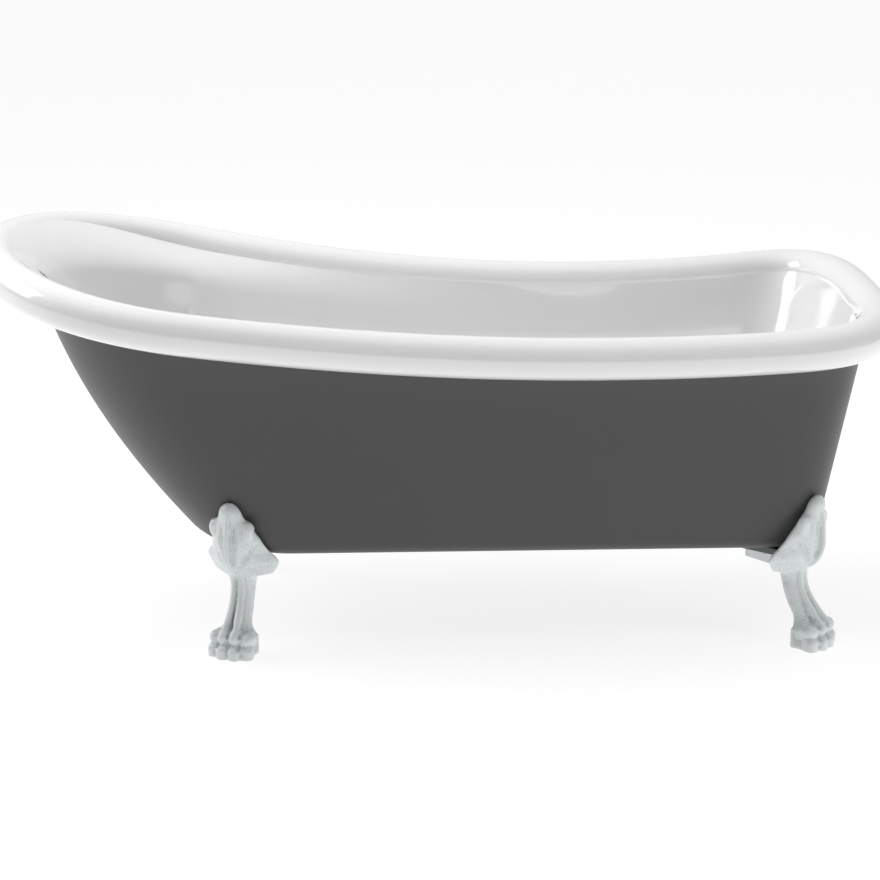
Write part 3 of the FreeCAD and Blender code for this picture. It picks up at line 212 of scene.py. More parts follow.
def rim(p):
    """Centre line of the roll."""
    ends = (-HALF_RUN, RIM_HEAD_END, HALF_RUN, RIM_TAP_END)
    x = plan(p, 1.0, *ends)[0]
    z = sheer(x)
    x, y = plan(p, RIM_HALF_WIDTH + RIM_FLARE * (z - RIM_LOW), *ends)
    return np.stack([x, y, z], axis=-1)


def rim_outwards(p):
    along = rim(p + NEARBY) - rim(p - NEARBY)
    out = np.stack([along[:, 1], -along[:, 0], np.zeros(len(p))], axis=-1)
    return out / np.linalg.norm(out, axis=1, keepdims=True)


def roll_point(p, radius, angle):
    angle = np.broadcast_to(angle, p.shape)
    point = rim(p) + rim_outwards(p) * (radius * np.cos(angle))[:, None]
    point[:, 2] += radius * np.sin(angle)
    return point


def skin_plan(p, z, inset=0.0, corner=CORNER_SHARE):
    z = np.broadcast_to(z, p.shape)
    up = z - SKIN_BOTTOM
    half_width = SKIN_HALF_WIDTH + SKIN_SIDE_SLOPE * up
    head_x = -SKIN_HEAD_X - SKIN_HEAD_SLOPE * up + SKIN_HEAD_CURVE * up * up
    tap_x = SKIN_TAP_X + SKIN_TAP_SLOPE * up
    head_end = SKIN_HEAD_END + SKIN_HEAD_GROW * up
    tap_end = SKIN_TAP_END + SKIN_TAP_GROW * up
    x, y = plan(p, half_width - inset, head_x + inset, head_end - inset,
                tap_x - inset, tap_end - corner * inset)
    return np.stack([x, y, z], axis=-1)


def tub_plan(p, z, inset=0.0):
    z = np.broadcast_to(z, p.shape)
    up = z - SKIN_BOTTOM
    drop = RIM_LOW - z
    side_gap = SKIN_GAP + SIDE_LEAN * drop + inset
    tap_gap = SKIN_GAP + TAP_LEAN * drop + inset
    half_width = SKIN_HALF_WIDTH + SKIN_SIDE_SLOPE * up - side_gap
    head_x = -SKIN_HEAD_X - SKIN_HEAD_SLOPE * up + SKIN_HEAD_CURVE * up * up
    tap_x = SKIN_TAP_X + SKIN_TAP_SLOPE * up
    head_end = SKIN_HEAD_END + SKIN_HEAD_GROW * up
    tap_end = TUB_TAP_END + SKIN_TAP_GROW * up - CORNER_SHARE * inset
    x, y = plan(p, half_width, head_x + side_gap, head_end - side_gap, tap_x - tap_gap, tap_end)
    return np.stack([x, y, z], axis=-1)


def crease_angle(p):
    """Angle round the roll at which the wall meets it."""
    return np.radians(180.0 - HEAD_LEAN * head_share(p))


def dish(p, z, share):
    """How far the backrest lies outside the side wall's own surface."""
    x = tub_plan(p, z)[:, 0]
    past = DISH_EDGE_X - (DISH_EDGE_Z - z) * DISH_EDGE_LEAN - x
    along = eased(past / DISH_TURN) * (1 - eased(past / DISH_FADE))
    low = eased((share - DISH_LOW) / DISH_LOW_TURN)
    high = 1 - eased((share - DISH_HIGH) / DISH_HIGH_TURN)
    return DISH * along * low * high


def tub_wall(p, share):
    crease = roll_point(p, ROLL, crease_angle(p))
    start = TUB_FLOOR + FLOOR_ROUND
    z = start + (crease[:, 2] - start) * share
    flare = max(0.0, (share - FLARE_START) / (1 - FLARE_START)) ** 2
    foot = tub_plan(p, crease[:, 2])
    point = tub_plan(p, z, -dish(p, z, share))
    point[:, :2] += flare * (crease[:, :2] - foot[:, :2])
    return point


def rounding_rings(p, plan_at, bottom, radius, steps):
    rings = []
    for step in range(steps + 1):
        turn = math.pi / 2 * step / steps
        up = radius * (1 - math.cos(turn))
        rings.append(plan_at(p, bottom + up, radius * (1 - math.sin(turn))))
    return rings


def offset_rings(rings, thickness):
    """Rings moved along their own normals, away from the inside of the bath."""
    moved = []
    for j in range(1, len(rings) - 1):
        around = np.roll(rings[j], -1, axis=0) - np.roll(rings[j], 1, axis=0)
        up = rings[j + 1] - rings[j - 1]
        normal = np.cross(around, up)
        normal /= np.linalg.norm(normal, axis=1, keepdims=True)
        moved.append(rings[j] + normal * thickness)
    return moved


def hole_ring(outline, radius, z):
    """Round hole at the waste whose points face the points of the outline round it."""
    way = outline[:, :2] - np.array([WASTE_X, 0.0])
    way /= np.linalg.norm(way, axis=1, keepdims=True)
    ring = np.zeros_like(outline)
    ring[:, 0] = WASTE_X + radius * way[:, 0]
    ring[:, 1] = radius * way[:, 1]
    ring[:, 2] = z
    return ring


def disc_rings(hole, outline, steps):
    return [hole + (outline - hole) * (step / steps) for step in range(1, steps)]


# ------------------------------------------------------------------ meshes

def mesh_object(name, points, faces, smooth=True):
    mesh = bpy.data.meshes.new(name)
    mesh.from_pydata([tuple(point) for point in points], [], faces)
    mesh.update()
    if smooth:
        mesh.polygons.foreach_set("use_smooth", [True] * len(mesh.polygons))
    obj = bpy.data.objects.new(name, mesh)
    bpy.context.scene.collection.objects.link(obj)
    return obj


def tube_of_rings(name, rings, sharp):
    """Closed mesh whose rings follow each other and join up again; sharp ones keep their edge."""
    count = len(rings[0])
    points = np.concatenate(rings)
    k = np.arange(count)
    after = (k + 1) % count
    faces = []
    for j in range(len(rings)):
        low = j * count
        high = ((j + 1) % len(rings)) * count
        quads = np.stack([low + k, low + after, high + after, high + k], axis=1)
        faces += [tuple(quad) for quad in quads.tolist()]
    obj = mesh_object(name, points.tolist(), faces)
    mark_sharp(obj, sharp, count)
    return obj


def mark_sharp(obj, sharp, count):
    """Marks edges along the given rings where the ring's own test says so."""
    mesh = obj.data
    pairs = np.zeros(len(mesh.edges) * 2, dtype=np.int64)
    mesh.edges.foreach_get("vertices", pairs)
    pairs = pairs.reshape(-1, 2)
    ring = pairs // count
    station = pairs % count
    flags = np.zeros(len(pairs), dtype=bool)
    for number, test in sharp.items():
        along = (ring[:, 0] == number) & (ring[:, 1] == number)
        flags |= along & test[station[:, 0]]
    attribute = mesh.attributes.new("sharp_edge", "BOOLEAN", "EDGE")
    attribute.data.foreach_set("value", flags)


def make_tub():
    p = stations()
    floor_edge = tub_plan(p, TUB_FLOOR, FLOOR_ROUND)
    hole = hole_ring(floor_edge, WASTE_HOLE, TUB_FLOOR)
    inside = rounding_rings(p, tub_plan, TUB_FLOOR, FLOOR_ROUND, TUB_ROUND_STEPS)
    inside += [tub_wall(p, share) for share in np.linspace(0, 1, TUB_WALL_STEPS + 1)[1:]]
    roll = []
    inner_roll = []
    for share in np.linspace(0, 1, ROLL_STEPS + 1):
        angle = crease_angle(p) * (1 - share) - np.pi / 2 * share
        roll.append(roll_point(p, ROLL, angle))
        inner_roll.append(roll_point(p, ROLL - TUB_SHEET, angle))
    inside[-1] = roll[0]
    low = rim(p)[:, 2] - ROLL
    lip_low = skin_plan(p, low, -BOND_GAP, 1.0)
    lip_high = skin_plan(p, low + TUB_SHEET, -BOND_GAP, 1.0)
    rings = [hole] + disc_rings(hole, inside[0], DISC_STEPS) + inside
    crease = len(rings) - 1
    rings += roll[1:]
    rings.append(lip_low)
    lip = len(rings) - 1
    rings.append(lip_high)
    rings += inner_roll[::-HIDDEN_ROLL_SKIP]
    under = [inside[0] - np.array([0, 0, TUB_SHEET])] + offset_rings(inside, TUB_SHEET)
    rings += under[::-1][::HIDDEN_WALL_SKIP] + [under[0]]
    hidden = hole_ring(floor_edge, WASTE_HOLE, TUB_FLOOR - TUB_SHEET)
    rings.append(hidden)
    everywhere = np.ones(len(p), dtype=bool)
    sharp = {0: everywhere, crease: head_share(p) < CREASE_SHARP, lip: everywhere,
             lip + 1: everywhere, len(rings) - 1: everywhere}
    return tube_of_rings("tub_surface", rings, sharp)


def make_skin():
    p = stations()
    top = rim(p)[:, 2] - ROLL + TUB_SHEET
    outside = rounding_rings(p, skin_plan, SKIN_BOTTOM, SKIN_EDGE, SKIN_ROUND_STEPS)
    start = SKIN_BOTTOM + SKIN_EDGE
    for share in np.linspace(0, 1, SKIN_WALL_STEPS + 1)[1:]:
        outside.append(skin_plan(p, start + (top - start) * share))
    inside = [outside[0] + np.array([0, 0, SKIN_SHEET])] + offset_rings(outside, -SKIN_SHEET)
    around = np.roll(outside[-1], -1, axis=0) - np.roll(outside[-1], 1, axis=0)
    out = np.stack([around[:, 1], -around[:, 0], np.zeros(len(p))], axis=-1)
    out /= np.linalg.norm(out, axis=1, keepdims=True)
    edge = outside[-1] - out * SKIN_SHEET
    hole = hole_ring(outside[0], APERTURE, SKIN_BOTTOM)
    rings = [hole] + disc_rings(hole, outside[0], DISC_STEPS) + outside
    rim_edge = len(rings) - 1
    rings.append(edge)
    rings += inside[::-1][::HIDDEN_SKIN_SKIP] + [inside[0]]
    rings.append(hole + np.array([0, 0, SKIN_SHEET]))
    everywhere = np.ones(len(p), dtype=bool)
    sharp = {0: everywhere, rim_edge: everywhere, rim_edge + 1: everywhere,
             len(rings) - 1: everywhere}
    return tube_of_rings("skin_surface", rings, sharp)


# ------------------------------------------------------------------ carved feet
# places in this part are millimetres in the foot's own frame: outwards, sideways, up
MM = 0.001
# place of the frame in metres, its heading, and the carving's turn at the paw and at the leaf
FOOT_FRAMES = {
    "head": (-0.367, -0.219, math.radians(-108), (-5.0, -6.5)),
    "tap": (0.664, -0.224, math.radians(-40), (0.0, 0.0)),
}
LUG_REACH = 88.0
LUG_HALF_WIDTH = 26.5
LUG_MIDDLE = 173.4
LUG_HALF = 6.0
PAD_PLACE = 45.0
PAD_ROOM = 15.5
PAD_DEPTH = 14.0
SOLE = 1.5
SKIN_CLEAR = 0.7
BRACKET_START = 26.0
BRACKET_ROOM = 30.5
BRACKET_TOP = 185.0
TWIST_START = 60.0
TWIST_RISE = 110.0
# level slices: height, outward reach of the front ridge, outward place and half width of the
# side edge, outward reach of the back, and the power of the front and back quarters
SLICES = np.array([
    (1.5, 66.0, 42.0, 34.5, 17.0, 4.0, 7.0),
    (20.0, 70.0, 44.0, 37.5, 15.0, 4.0, 7.0),
    (37.0, 65.0, 42.0, 38.0, 14.5, 3.6, 6.0),
    (44.0, 60.0, 35.0, 34.5, 13.0, 3.0, 4.5),
    (52.0, 52.0, 27.0, 28.5, 10.0, 2.4, 3.6),
    (62.0, 44.0, 20.0, 25.0, 6.0, 2.1, 3.2),
    (77.0, 36.0, 12.0, 23.5, -5.0, 2.0, 3.2),
    (98.0, 26.5, 2.0, 22.5, -15.0, 2.0, 3.2),
    (118.0, 19.5, -5.0, 23.0, -21.0, 1.9, 3.2),
    (134.0, 18.0, -8.0, 25.5, -24.0, 1.8, 3.0),
    (141.0, 19.5, -9.0, 30.0, -24.0, 1.6, 2.7),
    (145.0, 22.0, -10.0, 41.0, -23.5, 1.4, 2.5),
    (149.0, 26.0, -12.0, 57.0, -23.0, 1.2, 2.4),
    (158.0, 35.0, -13.5, 65.0, -22.0, 1.1, 2.4),
    (166.0, 43.0, -14.0, 70.0, -22.0, 1.05, 2.4),
    (173.0, 48.5, -13.0, 73.0, -21.5, 1.05, 2.4),
    (181.0, 53.0, -10.5, 70.0, -20.5, 1.05, 2.4),
    (194.0, 57.0, -3.0, 59.0, -14.0, 1.1, 2.2),
    (208.0, 58.0, 6.0, 53.0, -6.0, 1.25, 2.0),
    (222.0, 57.0, 13.0, 48.0, 1.0, 1.45, 2.0),
    (236.0, 55.0, 20.0, 41.0, 8.0, 1.55, 2.0),
    (250.0, 52.0, 27.0, 36.0, 14.0, 1.6, 2.0),
    (264.0, 50.0, 33.0, 26.0, 20.0, 1.7, 2.0),
    (278.0, 50.0, 36.0, 19.0, 25.0, 1.8, 2.0),
    (285.5, 47.5, 38.0, 13.0, 29.0, 1.9, 2.0),
    (291.0, 43.0, 39.0, 6.0, 34.0, 2.0, 2.0),
])
# the grid of distances; where a form's own measure is evened out into a distance, its slope
# counts as at least this
CELL = 1.6
LOW = (-92.0, -80.0, -4.0)
HIGH = (96.0, 80.0, 304.0)
FAR_AWAY = 1e3
SLICE_SLOPE = 0.35
SKIN_SLOPE = 0.2
PATH_STEPS = 4
# how the creases are found for the painted shade that darkens them
CAVITY_CELLS = 3
CAVITY_LIMIT = 8.0
CAVITY_SCALE = 1.2


def smooth_min(a, b, size):
    share = np.clip(0.5 + 0.5 * (b - a) / size, 0.0, 1.0)
    return b + (a - b) * share - size * share * (1.0 - share)


def smooth_max(a, b, size):
    return -smooth_min(-a, -b, size)


class Clay:
    """A solid kept as signed distances on a grid, to which rounded forms are added or cut."""

    def __init__(self, low, high, cell):
        self.low = np.array(low)
        self.cell = cell
        self.axes = [np.arange(low[k], high[k] + cell, cell) for k in range(3)]
        self.o, self.s, self.z = [part.astype(np.float32) for part in
                                  np.meshgrid(*self.axes, indexing="ij", sparse=True)]
        self.field = np.full([len(axis) for axis in self.axes], FAR_AWAY, dtype=np.float32)

    def window(self, low, high):
        """The stretch of the grid between two corners."""
        cut = []
        for k in range(3):
            start = int(np.searchsorted(self.axes[k], low[k]))
            end = int(np.searchsorted(self.axes[k], high[k]))
            cut.append(slice(max(0, start - 1), min(len(self.axes[k]), end + 1)))
        return tuple(cut)

    def local(self, cut):
        return self.o[cut[0]], self.s[:, cut[1]], self.z[:, :, cut[2]]

    def apply(self, shape, low, high, blend, dig):
        """Adds or digs a form, blended over so many millimetres, between two corners."""
        reach = 2.5 * blend + 2 * self.cell
        cut = self.window(np.array(low) - reach, np.array(high) + reach)
        distance = shape(*self.local(cut))
        old = self.field[cut]
        if dig:
            self.field[cut] = smooth_max(old, -distance, blend)
        else:
            self.field[cut] = smooth_min(old, distance, blend)

    def rod(self, start, end, r0, r1, blend, dig=False):
        """Tapered round rod."""
        start = np.array(start, dtype=float)
        end = np.array(end, dtype=float)
        along = end - start
        length = float(along @ along)

        def shape(o, s, z):
            po, ps, pz = o - start[0], s - start[1], z - start[2]
            share = np.clip((po * along[0] + ps * along[1] + pz * along[2]) / length, 0, 1)
            away = np.sqrt((po - share * along[0]) ** 2 + (ps - share * along[1]) ** 2
                           + (pz - share * along[2]) ** 2)
            return away - (r0 + (r1 - r0) * share)
        reach = max(r0, r1)
        low = np.minimum(start, end) - reach
        self.apply(shape, low, np.maximum(start, end) + reach, blend, dig)

    def ball(self, centre, radii, blend, dig=False):
        """Ellipsoid."""
        centre = np.array(centre, dtype=float)
        a, b, c = radii

        def shape(o, s, z):
            po, ps, pz = o - centre[0], s - centre[1], z - centre[2]
            k0 = np.sqrt((po / a) ** 2 + (ps / b) ** 2 + (pz / c) ** 2)
            k1 = np.sqrt((po / a ** 2) ** 2 + (ps / b ** 2) ** 2 + (pz / c ** 2) ** 2)
            return k0 * (k0 - 1.0) / np.maximum(k1, 1e-6)
        reach = max(radii)
        self.apply(shape, centre - reach, centre + reach, blend, dig)

    def block(self, centre, half, rounding, blend, dig=False, tilt=0.0, fan=0.0):
        """Rounded block; tilt leans its top outwards, fan turns its front sideways, in degrees."""
        centre = np.array(centre, dtype=float)
        ct, st = math.cos(math.radians(tilt)), math.sin(math.radians(tilt))
        cf, sf = math.cos(math.radians(fan)), math.sin(math.radians(fan))

        def shape(o, s, z):
            po, ps, pz = o - centre[0], s - centre[1], z - centre[2]
            out, side = po * cf + ps * sf, ps * cf - po * sf
            out, up = out * ct - pz * st, out * st + pz * ct
            q = [np.abs(value) - (size - rounding) for value, size in zip((out, side, up), half)]
            corner = np.sqrt(sum(np.maximum(value, 0) ** 2 for value in q))
            return corner + np.minimum(np.maximum(np.maximum(q[0], q[1]), q[2]), 0) - rounding
        reach = math.sqrt(sum(size * size for size in half))
        self.apply(shape, centre - reach, centre + reach, blend, dig)

    def both(self, add, *places, **words):
        """The same form on both sides."""
        for side in (-1, 1):
            mirrored = [(p[0], side * p[1], p[2]) for p in places]
            add(*mirrored, **words)

    def rods(self, *places, **words):
        self.both(self.rod, *places, **words)


def slice_field(clay):
    """Signed distance to the level slices, joined smoothly from one to the next."""
    heights = SLICES[:, 0]
    z = np.clip(clay.axes[2], heights[0], heights[-1])
    rows = [monotone(heights, column, z).astype(np.float32) for column in SLICES.T[1:]]
    front, edge, half, back, front_power, back_power = [row[None, None, :] for row in rows]
    o = clay.o - edge
    reach = np.where(o > 0, front - edge, edge - back)
    power = np.where(o > 0, front_power, back_power)
    u = np.abs(o) / reach
    v = np.abs(clay.s) / half
    value = (np.maximum(u, 1e-4) ** power + np.maximum(v, 1e-4) ** power) ** (1.0 / power)
    flat = (value - 1.0) * np.minimum(reach, half)
    steep = np.gradient(flat, clay.cell)
    steep = np.sqrt(steep[0] ** 2 + steep[1] ** 2 + steep[2] ** 2)
    distance = flat / np.maximum(steep, SLICE_SLOPE)
    distance = np.maximum(distance, clay.z - heights[-1])
    return np.maximum(distance, heights[0] - clay.z)


def monotone(x, y, at):
    """Piecewise cubic through the points that never overshoots them."""
    step = np.diff(x)
    slope = np.diff(y) / step
    tangent = np.zeros(len(x))
    for k in range(1, len(x) - 1):
        if slope[k - 1] * slope[k] > 0:
            w0 = 2 * step[k] + step[k - 1]
            w1 = step[k] + 2 * step[k - 1]
            tangent[k] = (w0 + w1) / (w0 / slope[k - 1] + w1 / slope[k])
    tangent[0], tangent[-1] = slope[0], slope[-1]
    k = np.clip(np.searchsorted(x, at) - 1, 0, len(step) - 1)
    t = (at - x[k]) / step[k]
    return (y[k] * (1 + 2 * t) * (1 - t) ** 2 + tangent[k] * step[k] * t * (1 - t) ** 2
            + y[k + 1] * t * t * (3 - 2 * t) + tangent[k + 1] * step[k] * t * t * (t - 1))


def follow(add, path, sizes, **words):
    """Short rods along a smooth path, with a radius at each point."""
    number = np.arange(len(path), dtype=float)
    fine = np.linspace(0, len(path) - 1, PATH_STEPS * (len(path) - 1) + 1)
    rows = [monotone(number, np.array(row, dtype=float), fine) for row in (*zip(*path), sizes)]
    places = list(zip(*rows[:3]))
    for k in range(len(places) - 1):
        add(places[k], places[k + 1], r0=rows[3][k], r1=rows[3][k + 1], **words)


def carve_leaf(clay):
    # one scroll lobe on each edge, with a notch over it
    clay.both(clay.ball, (32.0, 34.0, 242.0), radii=(9.0, 10.5, 16.0), blend=9.0)
    clay.both(clay.ball, (42.0, 33.0, 263.0), radii=(14.0, 5.0, 4.0), blend=5.0, dig=True)
    # valley between the leaf and the wing
    valley = [(23.0, 56.0, 216.0), (33.0, 42.0, 200.0), (40.0, 28.0, 179.0), (37.0, 17.0, 154.0)]
    follow(clay.rods, valley, (4.0, 8.0, 9.0, 6.0), blend=6.0, dig=True)
    # spoons on both sides of the keel, round at the lower end
    spoon = [(56.0, 10.0, 268.0), (58.0, 14.0, 248.0), (60.0, 14.5, 224.0), (58.0, 14.0, 198.0),
             (48.0, 12.0, 176.0)]
    follow(clay.rods, spoon, (4.0, 9.0, 12.0, 12.0, 8.5), blend=3.0, dig=True)
    # keel up to the rolled tip
    clay.ball((40.0, 0.0, 275.0), (10.0, 15.0, 13.0), 12.0)
    keel = [(46.0, -1.0, 286.0), (51.0, 0.0, 262.0), (55.5, 0.0, 230.0), (56.5, 0.0, 203.0),
            (46.0, 0.0, 172.0), (30.0, 0.0, 156.0)]
    follow(clay.rod, keel, (2.4, 1.8, 1.6, 1.8, 2.0, 2.4), blend=5.0)


def carve_leg(clay):
    line = [(20.0, 150.0), (17.5, 134.0), (19.5, 118.0), (27.0, 98.0), (36.0, 77.0), (44.0, 64.0)]
    # two arrises that frame the front face
    arris = [(out - 3.5, 7.5, z) for out, z in line]
    follow(clay.rods, arris, (3.0, 4.4, 4.6, 4.6, 5.0, 6.0), blend=4.0)
    # groove between them, deeper towards the toes
    groove = [(out + 6.0, 0.0, z) for out, z in line[2:]]
    follow(clay.rod, groove, (2.2, 4.2, 5.4, 6.0), blend=4.0, dig=True)


def carve_paw(clay):
    # side block behind the toes, flat and smooth
    clay.block((35.0, 0.0, 19.5), (20.5, 39.0, 20.5), 5.0, 3.0)
    # the outer toes first, then the inner ones: sideways place, setback, drop and fan
    outer, inner = (31.0, -9.0, -4.0, 12.0), (11.2, 0.0, 0.0, 4.0)
    for toe in (outer, inner):
        for side in (-1, 1):
            across, out, low, fan = side * toe[0], toe[1], toe[2], side * toe[3]
            # tendons run on from the arrises to the inner knuckles
            if toe is inner:
                tendon = [(26.0, side * 7.5, 94.0), (44.0, side * 9.0, 69.0), (58.0, across, 50.0)]
                follow(clay.rod, tendon, (3.5, 5.0, 7.5), blend=6.0)
            # knuckle and claw
            clay.ball((59.0 + out, across, 42.0 + low), (17.5, 12.3, 13.5), 6.0)
            clay.block((65.0 + out, across * 1.02, 10.0), (14.0, 12.2, 17.5), 11.0, 4.0,
                       tilt=4.0, fan=fan)
            # crease under the knuckle
            clay.ball((80.0 + out, across * 1.02, 27.0), (6.0, 9.0, 2.8), 3.0, dig=True)
    # pits between the toes at the crease, and hollows over the knuckles
    for across, out in ((0.0, 0.0), (21.4, -4.0), (-21.4, -4.0)):
        clay.ball((76.0 + out, across, 27.0), (7.0, 5.0, 7.0), 3.5, dig=True)
        clay.ball((71.0 + out, across, 50.0), (7.0, 3.5, 8.0), 4.0, dig=True)
    clay.ball((60.0, 0.0, 63.0), (9.0, 6.0, 10.0), 6.0, dig=True)
    clay.both(clay.ball, (52.0, 27.0, 61.0), radii=(17.0, 11.0, 12.0), blend=6.0, dig=True)
    clay.rods((46.0, 45.0, 54.0), (10.0, 43.0, 54.0), r0=11.0, r1=9.0, blend=3.0, dig=True)


def turned(o, s, z, twist):
    """Turns places about the upright, by so many degrees at the paw and at the leaf."""
    lower, upper = twist
    share = np.clip((z - TWIST_START) / TWIST_RISE, 0.0, 1.0)
    angle = np.radians(lower + (upper - lower) * share)
    pivot = PAD_PLACE * (1.0 - share)
    out = o - pivot
    return pivot + out * np.cos(angle) - s * np.sin(angle), out * np.sin(angle) + s * np.cos(angle)


def skin_outside(x, y, z):
    """About the distance outside the skin, in millimetres, of places in metres."""
    up = z - SKIN_BOTTOM
    half = SKIN_HALF_WIDTH + SKIN_SIDE_SLOPE * up
    head_x = -SKIN_HEAD_X - SKIN_HEAD_SLOPE * up + SKIN_HEAD_CURVE * up * up
    tap_x = SKIN_TAP_X + SKIN_TAP_SLOPE * up
    head_end = SKIN_HEAD_END + SKIN_HEAD_GROW * up
    tap_end = SKIN_TAP_END + SKIN_TAP_GROW * up
    across = np.maximum(np.abs(y) / half, 1e-6)
    head = np.maximum(head_x + head_end - x, 1e-9) / head_end
    tap = np.maximum(x - tap_x + tap_end, 1e-9) / tap_end
    at_head = ((head ** HEAD_POWER + across ** HEAD_POWER) ** (1 / HEAD_POWER) - 1) * head_end
    at_tap = ((tap ** TAP_POWER + across ** TAP_POWER) ** (1 / TAP_POWER) - 1) * tap_end
    around = np.where(x < 0, at_head, at_tap) / MM
    steep = np.gradient(around, CELL)
    around = around / np.maximum(np.sqrt(sum(part * part for part in steep)), SKIN_SLOPE)
    edge = SKIN_EDGE / MM
    out = around + edge
    down = -up / MM + edge
    corner = np.sqrt(np.maximum(out, 0) ** 2 + np.maximum(down, 0) ** 2)
    return corner + np.minimum(np.maximum(out, down), 0) - edge


def surface_nets(field, low, cell):
    """Quad mesh of the zero level: one point in each cell that the surface crosses."""
    inside = field < 0
    nx, ny, nz = field.shape
    total = np.zeros((nx - 1, ny - 1, nz - 1, 3), dtype=np.float32)
    count = np.zeros((nx - 1, ny - 1, nz - 1), dtype=np.int32)
    corners = [(i, j, k) for i in (0, 1) for j in (0, 1) for k in (0, 1)]

    def part(array, c):
        return array[c[0]:c[0] + nx - 1, c[1]:c[1] + ny - 1, c[2]:c[2] + nz - 1]
    for a in corners:
        for axis in range(3):
            if a[axis]:
                continue
            b = list(a)
            b[axis] = 1
            fa, fb = part(field, a), part(field, b)
            crossing = part(inside, a) != part(inside, b)
            share = np.where(crossing, fa / np.where(crossing, fa - fb, 1.0), 0.0)
            for d in range(3):
                here = a[d] + (share if d == axis else 0.0)
                total[..., d] += np.where(crossing, here, 0.0)
            count += crossing
    cells = np.argwhere(count > 0)
    number = -np.ones(count.shape, dtype=np.int64)
    number[tuple(cells.T)] = np.arange(len(cells))
    points = cells + total[tuple(cells.T)] / count[tuple(cells.T)][:, None]
    points = np.array(low) + points * cell
    quads = []
    for axis in range(3):
        u, v = (axis + 1) % 3, (axis + 2) % 3
        first = [slice(None)] * 3
        second = [slice(None)] * 3
        first[axis] = slice(0, -1)
        second[axis] = slice(1, None)
        a, b = inside[tuple(first)], inside[tuple(second)]
        edges = np.argwhere(a != b)
        low_side = np.minimum(edges[:, u], edges[:, v]) > 0
        high_side = (edges[:, u] < field.shape[u] - 1) & (edges[:, v] < field.shape[v] - 1)
        edges = edges[low_side & high_side]
        flip = a[tuple(edges.T)]
        ring = []
        for du, dv in ((0, 0), (-1, 0), (-1, -1), (0, -1)):
            c = edges.copy()
            c[:, u] += du
            c[:, v] += dv
            ring.append(number[tuple(c.T)])
        ring = np.stack(ring, axis=1)
        ring[~flip] = ring[~flip][:, ::-1]
        quads.append(ring)
    return points, np.concatenate(quads)


def carved_clay(frame_x, frame_y, heading, twist):
    clay = Clay(LOW, HIGH, CELL)
    clay.field = np.minimum(clay.field, slice_field(clay)).astype(np.float32)
    carve_leaf(clay)
    carve_leg(clay)
    carve_paw(clay)
    out, side = turned(clay.o, clay.s, clay.z, twist)
    # lug under the bath
    lug = np.maximum(np.abs(out + LUG_REACH / 2) - LUG_REACH / 2, np.abs(side) - LUG_HALF_WIDTH)
    clay.field = np.minimum(clay.field, np.maximum(lug, np.abs(clay.z - LUG_MIDDLE) - LUG_HALF))
    # cut back to just outside the skin; adding 0 * x spreads the heights over the whole grid
    cos, sin = math.cos(heading), math.sin(heading)
    x = frame_x + (out * cos - side * sin) * MM
    y = frame_y + (out * sin + side * cos) * MM
    clay.field = np.maximum(clay.field, SKIN_CLEAR - skin_outside(x, y, clay.z * MM + 0 * x))
    # room for the bracket over the lug
    room = np.maximum(out + BRACKET_START, np.abs(side) - BRACKET_ROOM)
    room = np.maximum(room, np.maximum(LUG_MIDDLE + LUG_HALF - clay.z, clay.z - BRACKET_TOP))
    clay.field = np.maximum(clay.field, -room)
    # recess for the levelling pad, and the flat sole
    pad = np.sqrt((out - PAD_PLACE) ** 2 + side ** 2) - PAD_ROOM
    clay.field = np.maximum(clay.field, -np.maximum(pad, clay.z - PAD_DEPTH))
    clay.field = np.maximum(clay.field, SOLE - clay.z)
    return clay


def blurred(field, reach):
    """Mean of the field over a box that reaches so many cells each way."""
    width = 2 * reach + 1
    for axis in range(3):
        count = field.shape[axis]
        before = np.repeat(np.take(field, [0], axis), reach + 1, axis)
        after = np.repeat(np.take(field, [-1], axis), reach, axis)
        total = np.cumsum(np.concatenate([before, field, after], axis), axis)
        low = np.take(total, range(count), axis)
        high = np.take(total, range(width, count + width), axis)
        field = (high - low) / width
    return field


def make_foot(end, far):
    """Carved foot near the camera, or its mirror image on the far side.

    Its points carry a crease depth that the paint turns into painted shade: over 0 in a crease."""
    frame_x, frame_y, heading, twist = FOOT_FRAMES[end]
    clay = carved_clay(frame_x, frame_y, heading, twist)
    points, quads = surface_nets(clay.field, LOW, CELL)
    cell = np.round((points - np.array(LOW)) / CELL).astype(int)
    # blurred depth of the creases, which the foot material uses for painted shade
    shallow = np.clip(clay.field, -CAVITY_LIMIT, CAVITY_LIMIT)
    painted_shade_depth = -blurred(shallow, CAVITY_CELLS)[tuple(cell.T)]
    out, side = turned(points[:, 0], points[:, 1], points[:, 2], twist)
    cos, sin = math.cos(heading), math.sin(heading)
    x = frame_x + (out * cos - side * sin) * MM
    y = frame_y + (out * sin + side * cos) * MM
    if far:
        y = -y
        quads = quads[:, ::-1]
    name = "carved_foot_" + end + ("_far" if far else "_near")
    places = np.stack([x, y, points[:, 2] * MM], axis=1)
    obj = mesh_object(name, places.tolist(), quads.tolist())
    shade = obj.data.attributes.new("painted_shade_depth", "FLOAT", "POINT")
    shade.data.foreach_set("value", np.clip(painted_shade_depth / CAVITY_SCALE, -1, 1).astype(np.float32))
    return obj


# ------------------------------------------------------------------ materials
# painted shade in the creases of the feet, and how much of it shows in the deepest ones
CREASE_SHADE_COLOUR = (0.40, 0.43, 0.43)
CREASE_SHADE_SHARE = 0.8
# gloss and grain vary so many times faster than the colour
GLOSS_SCALE = 6
GRAIN_SCALE = 40
GRAIN_STRENGTH = 0.15
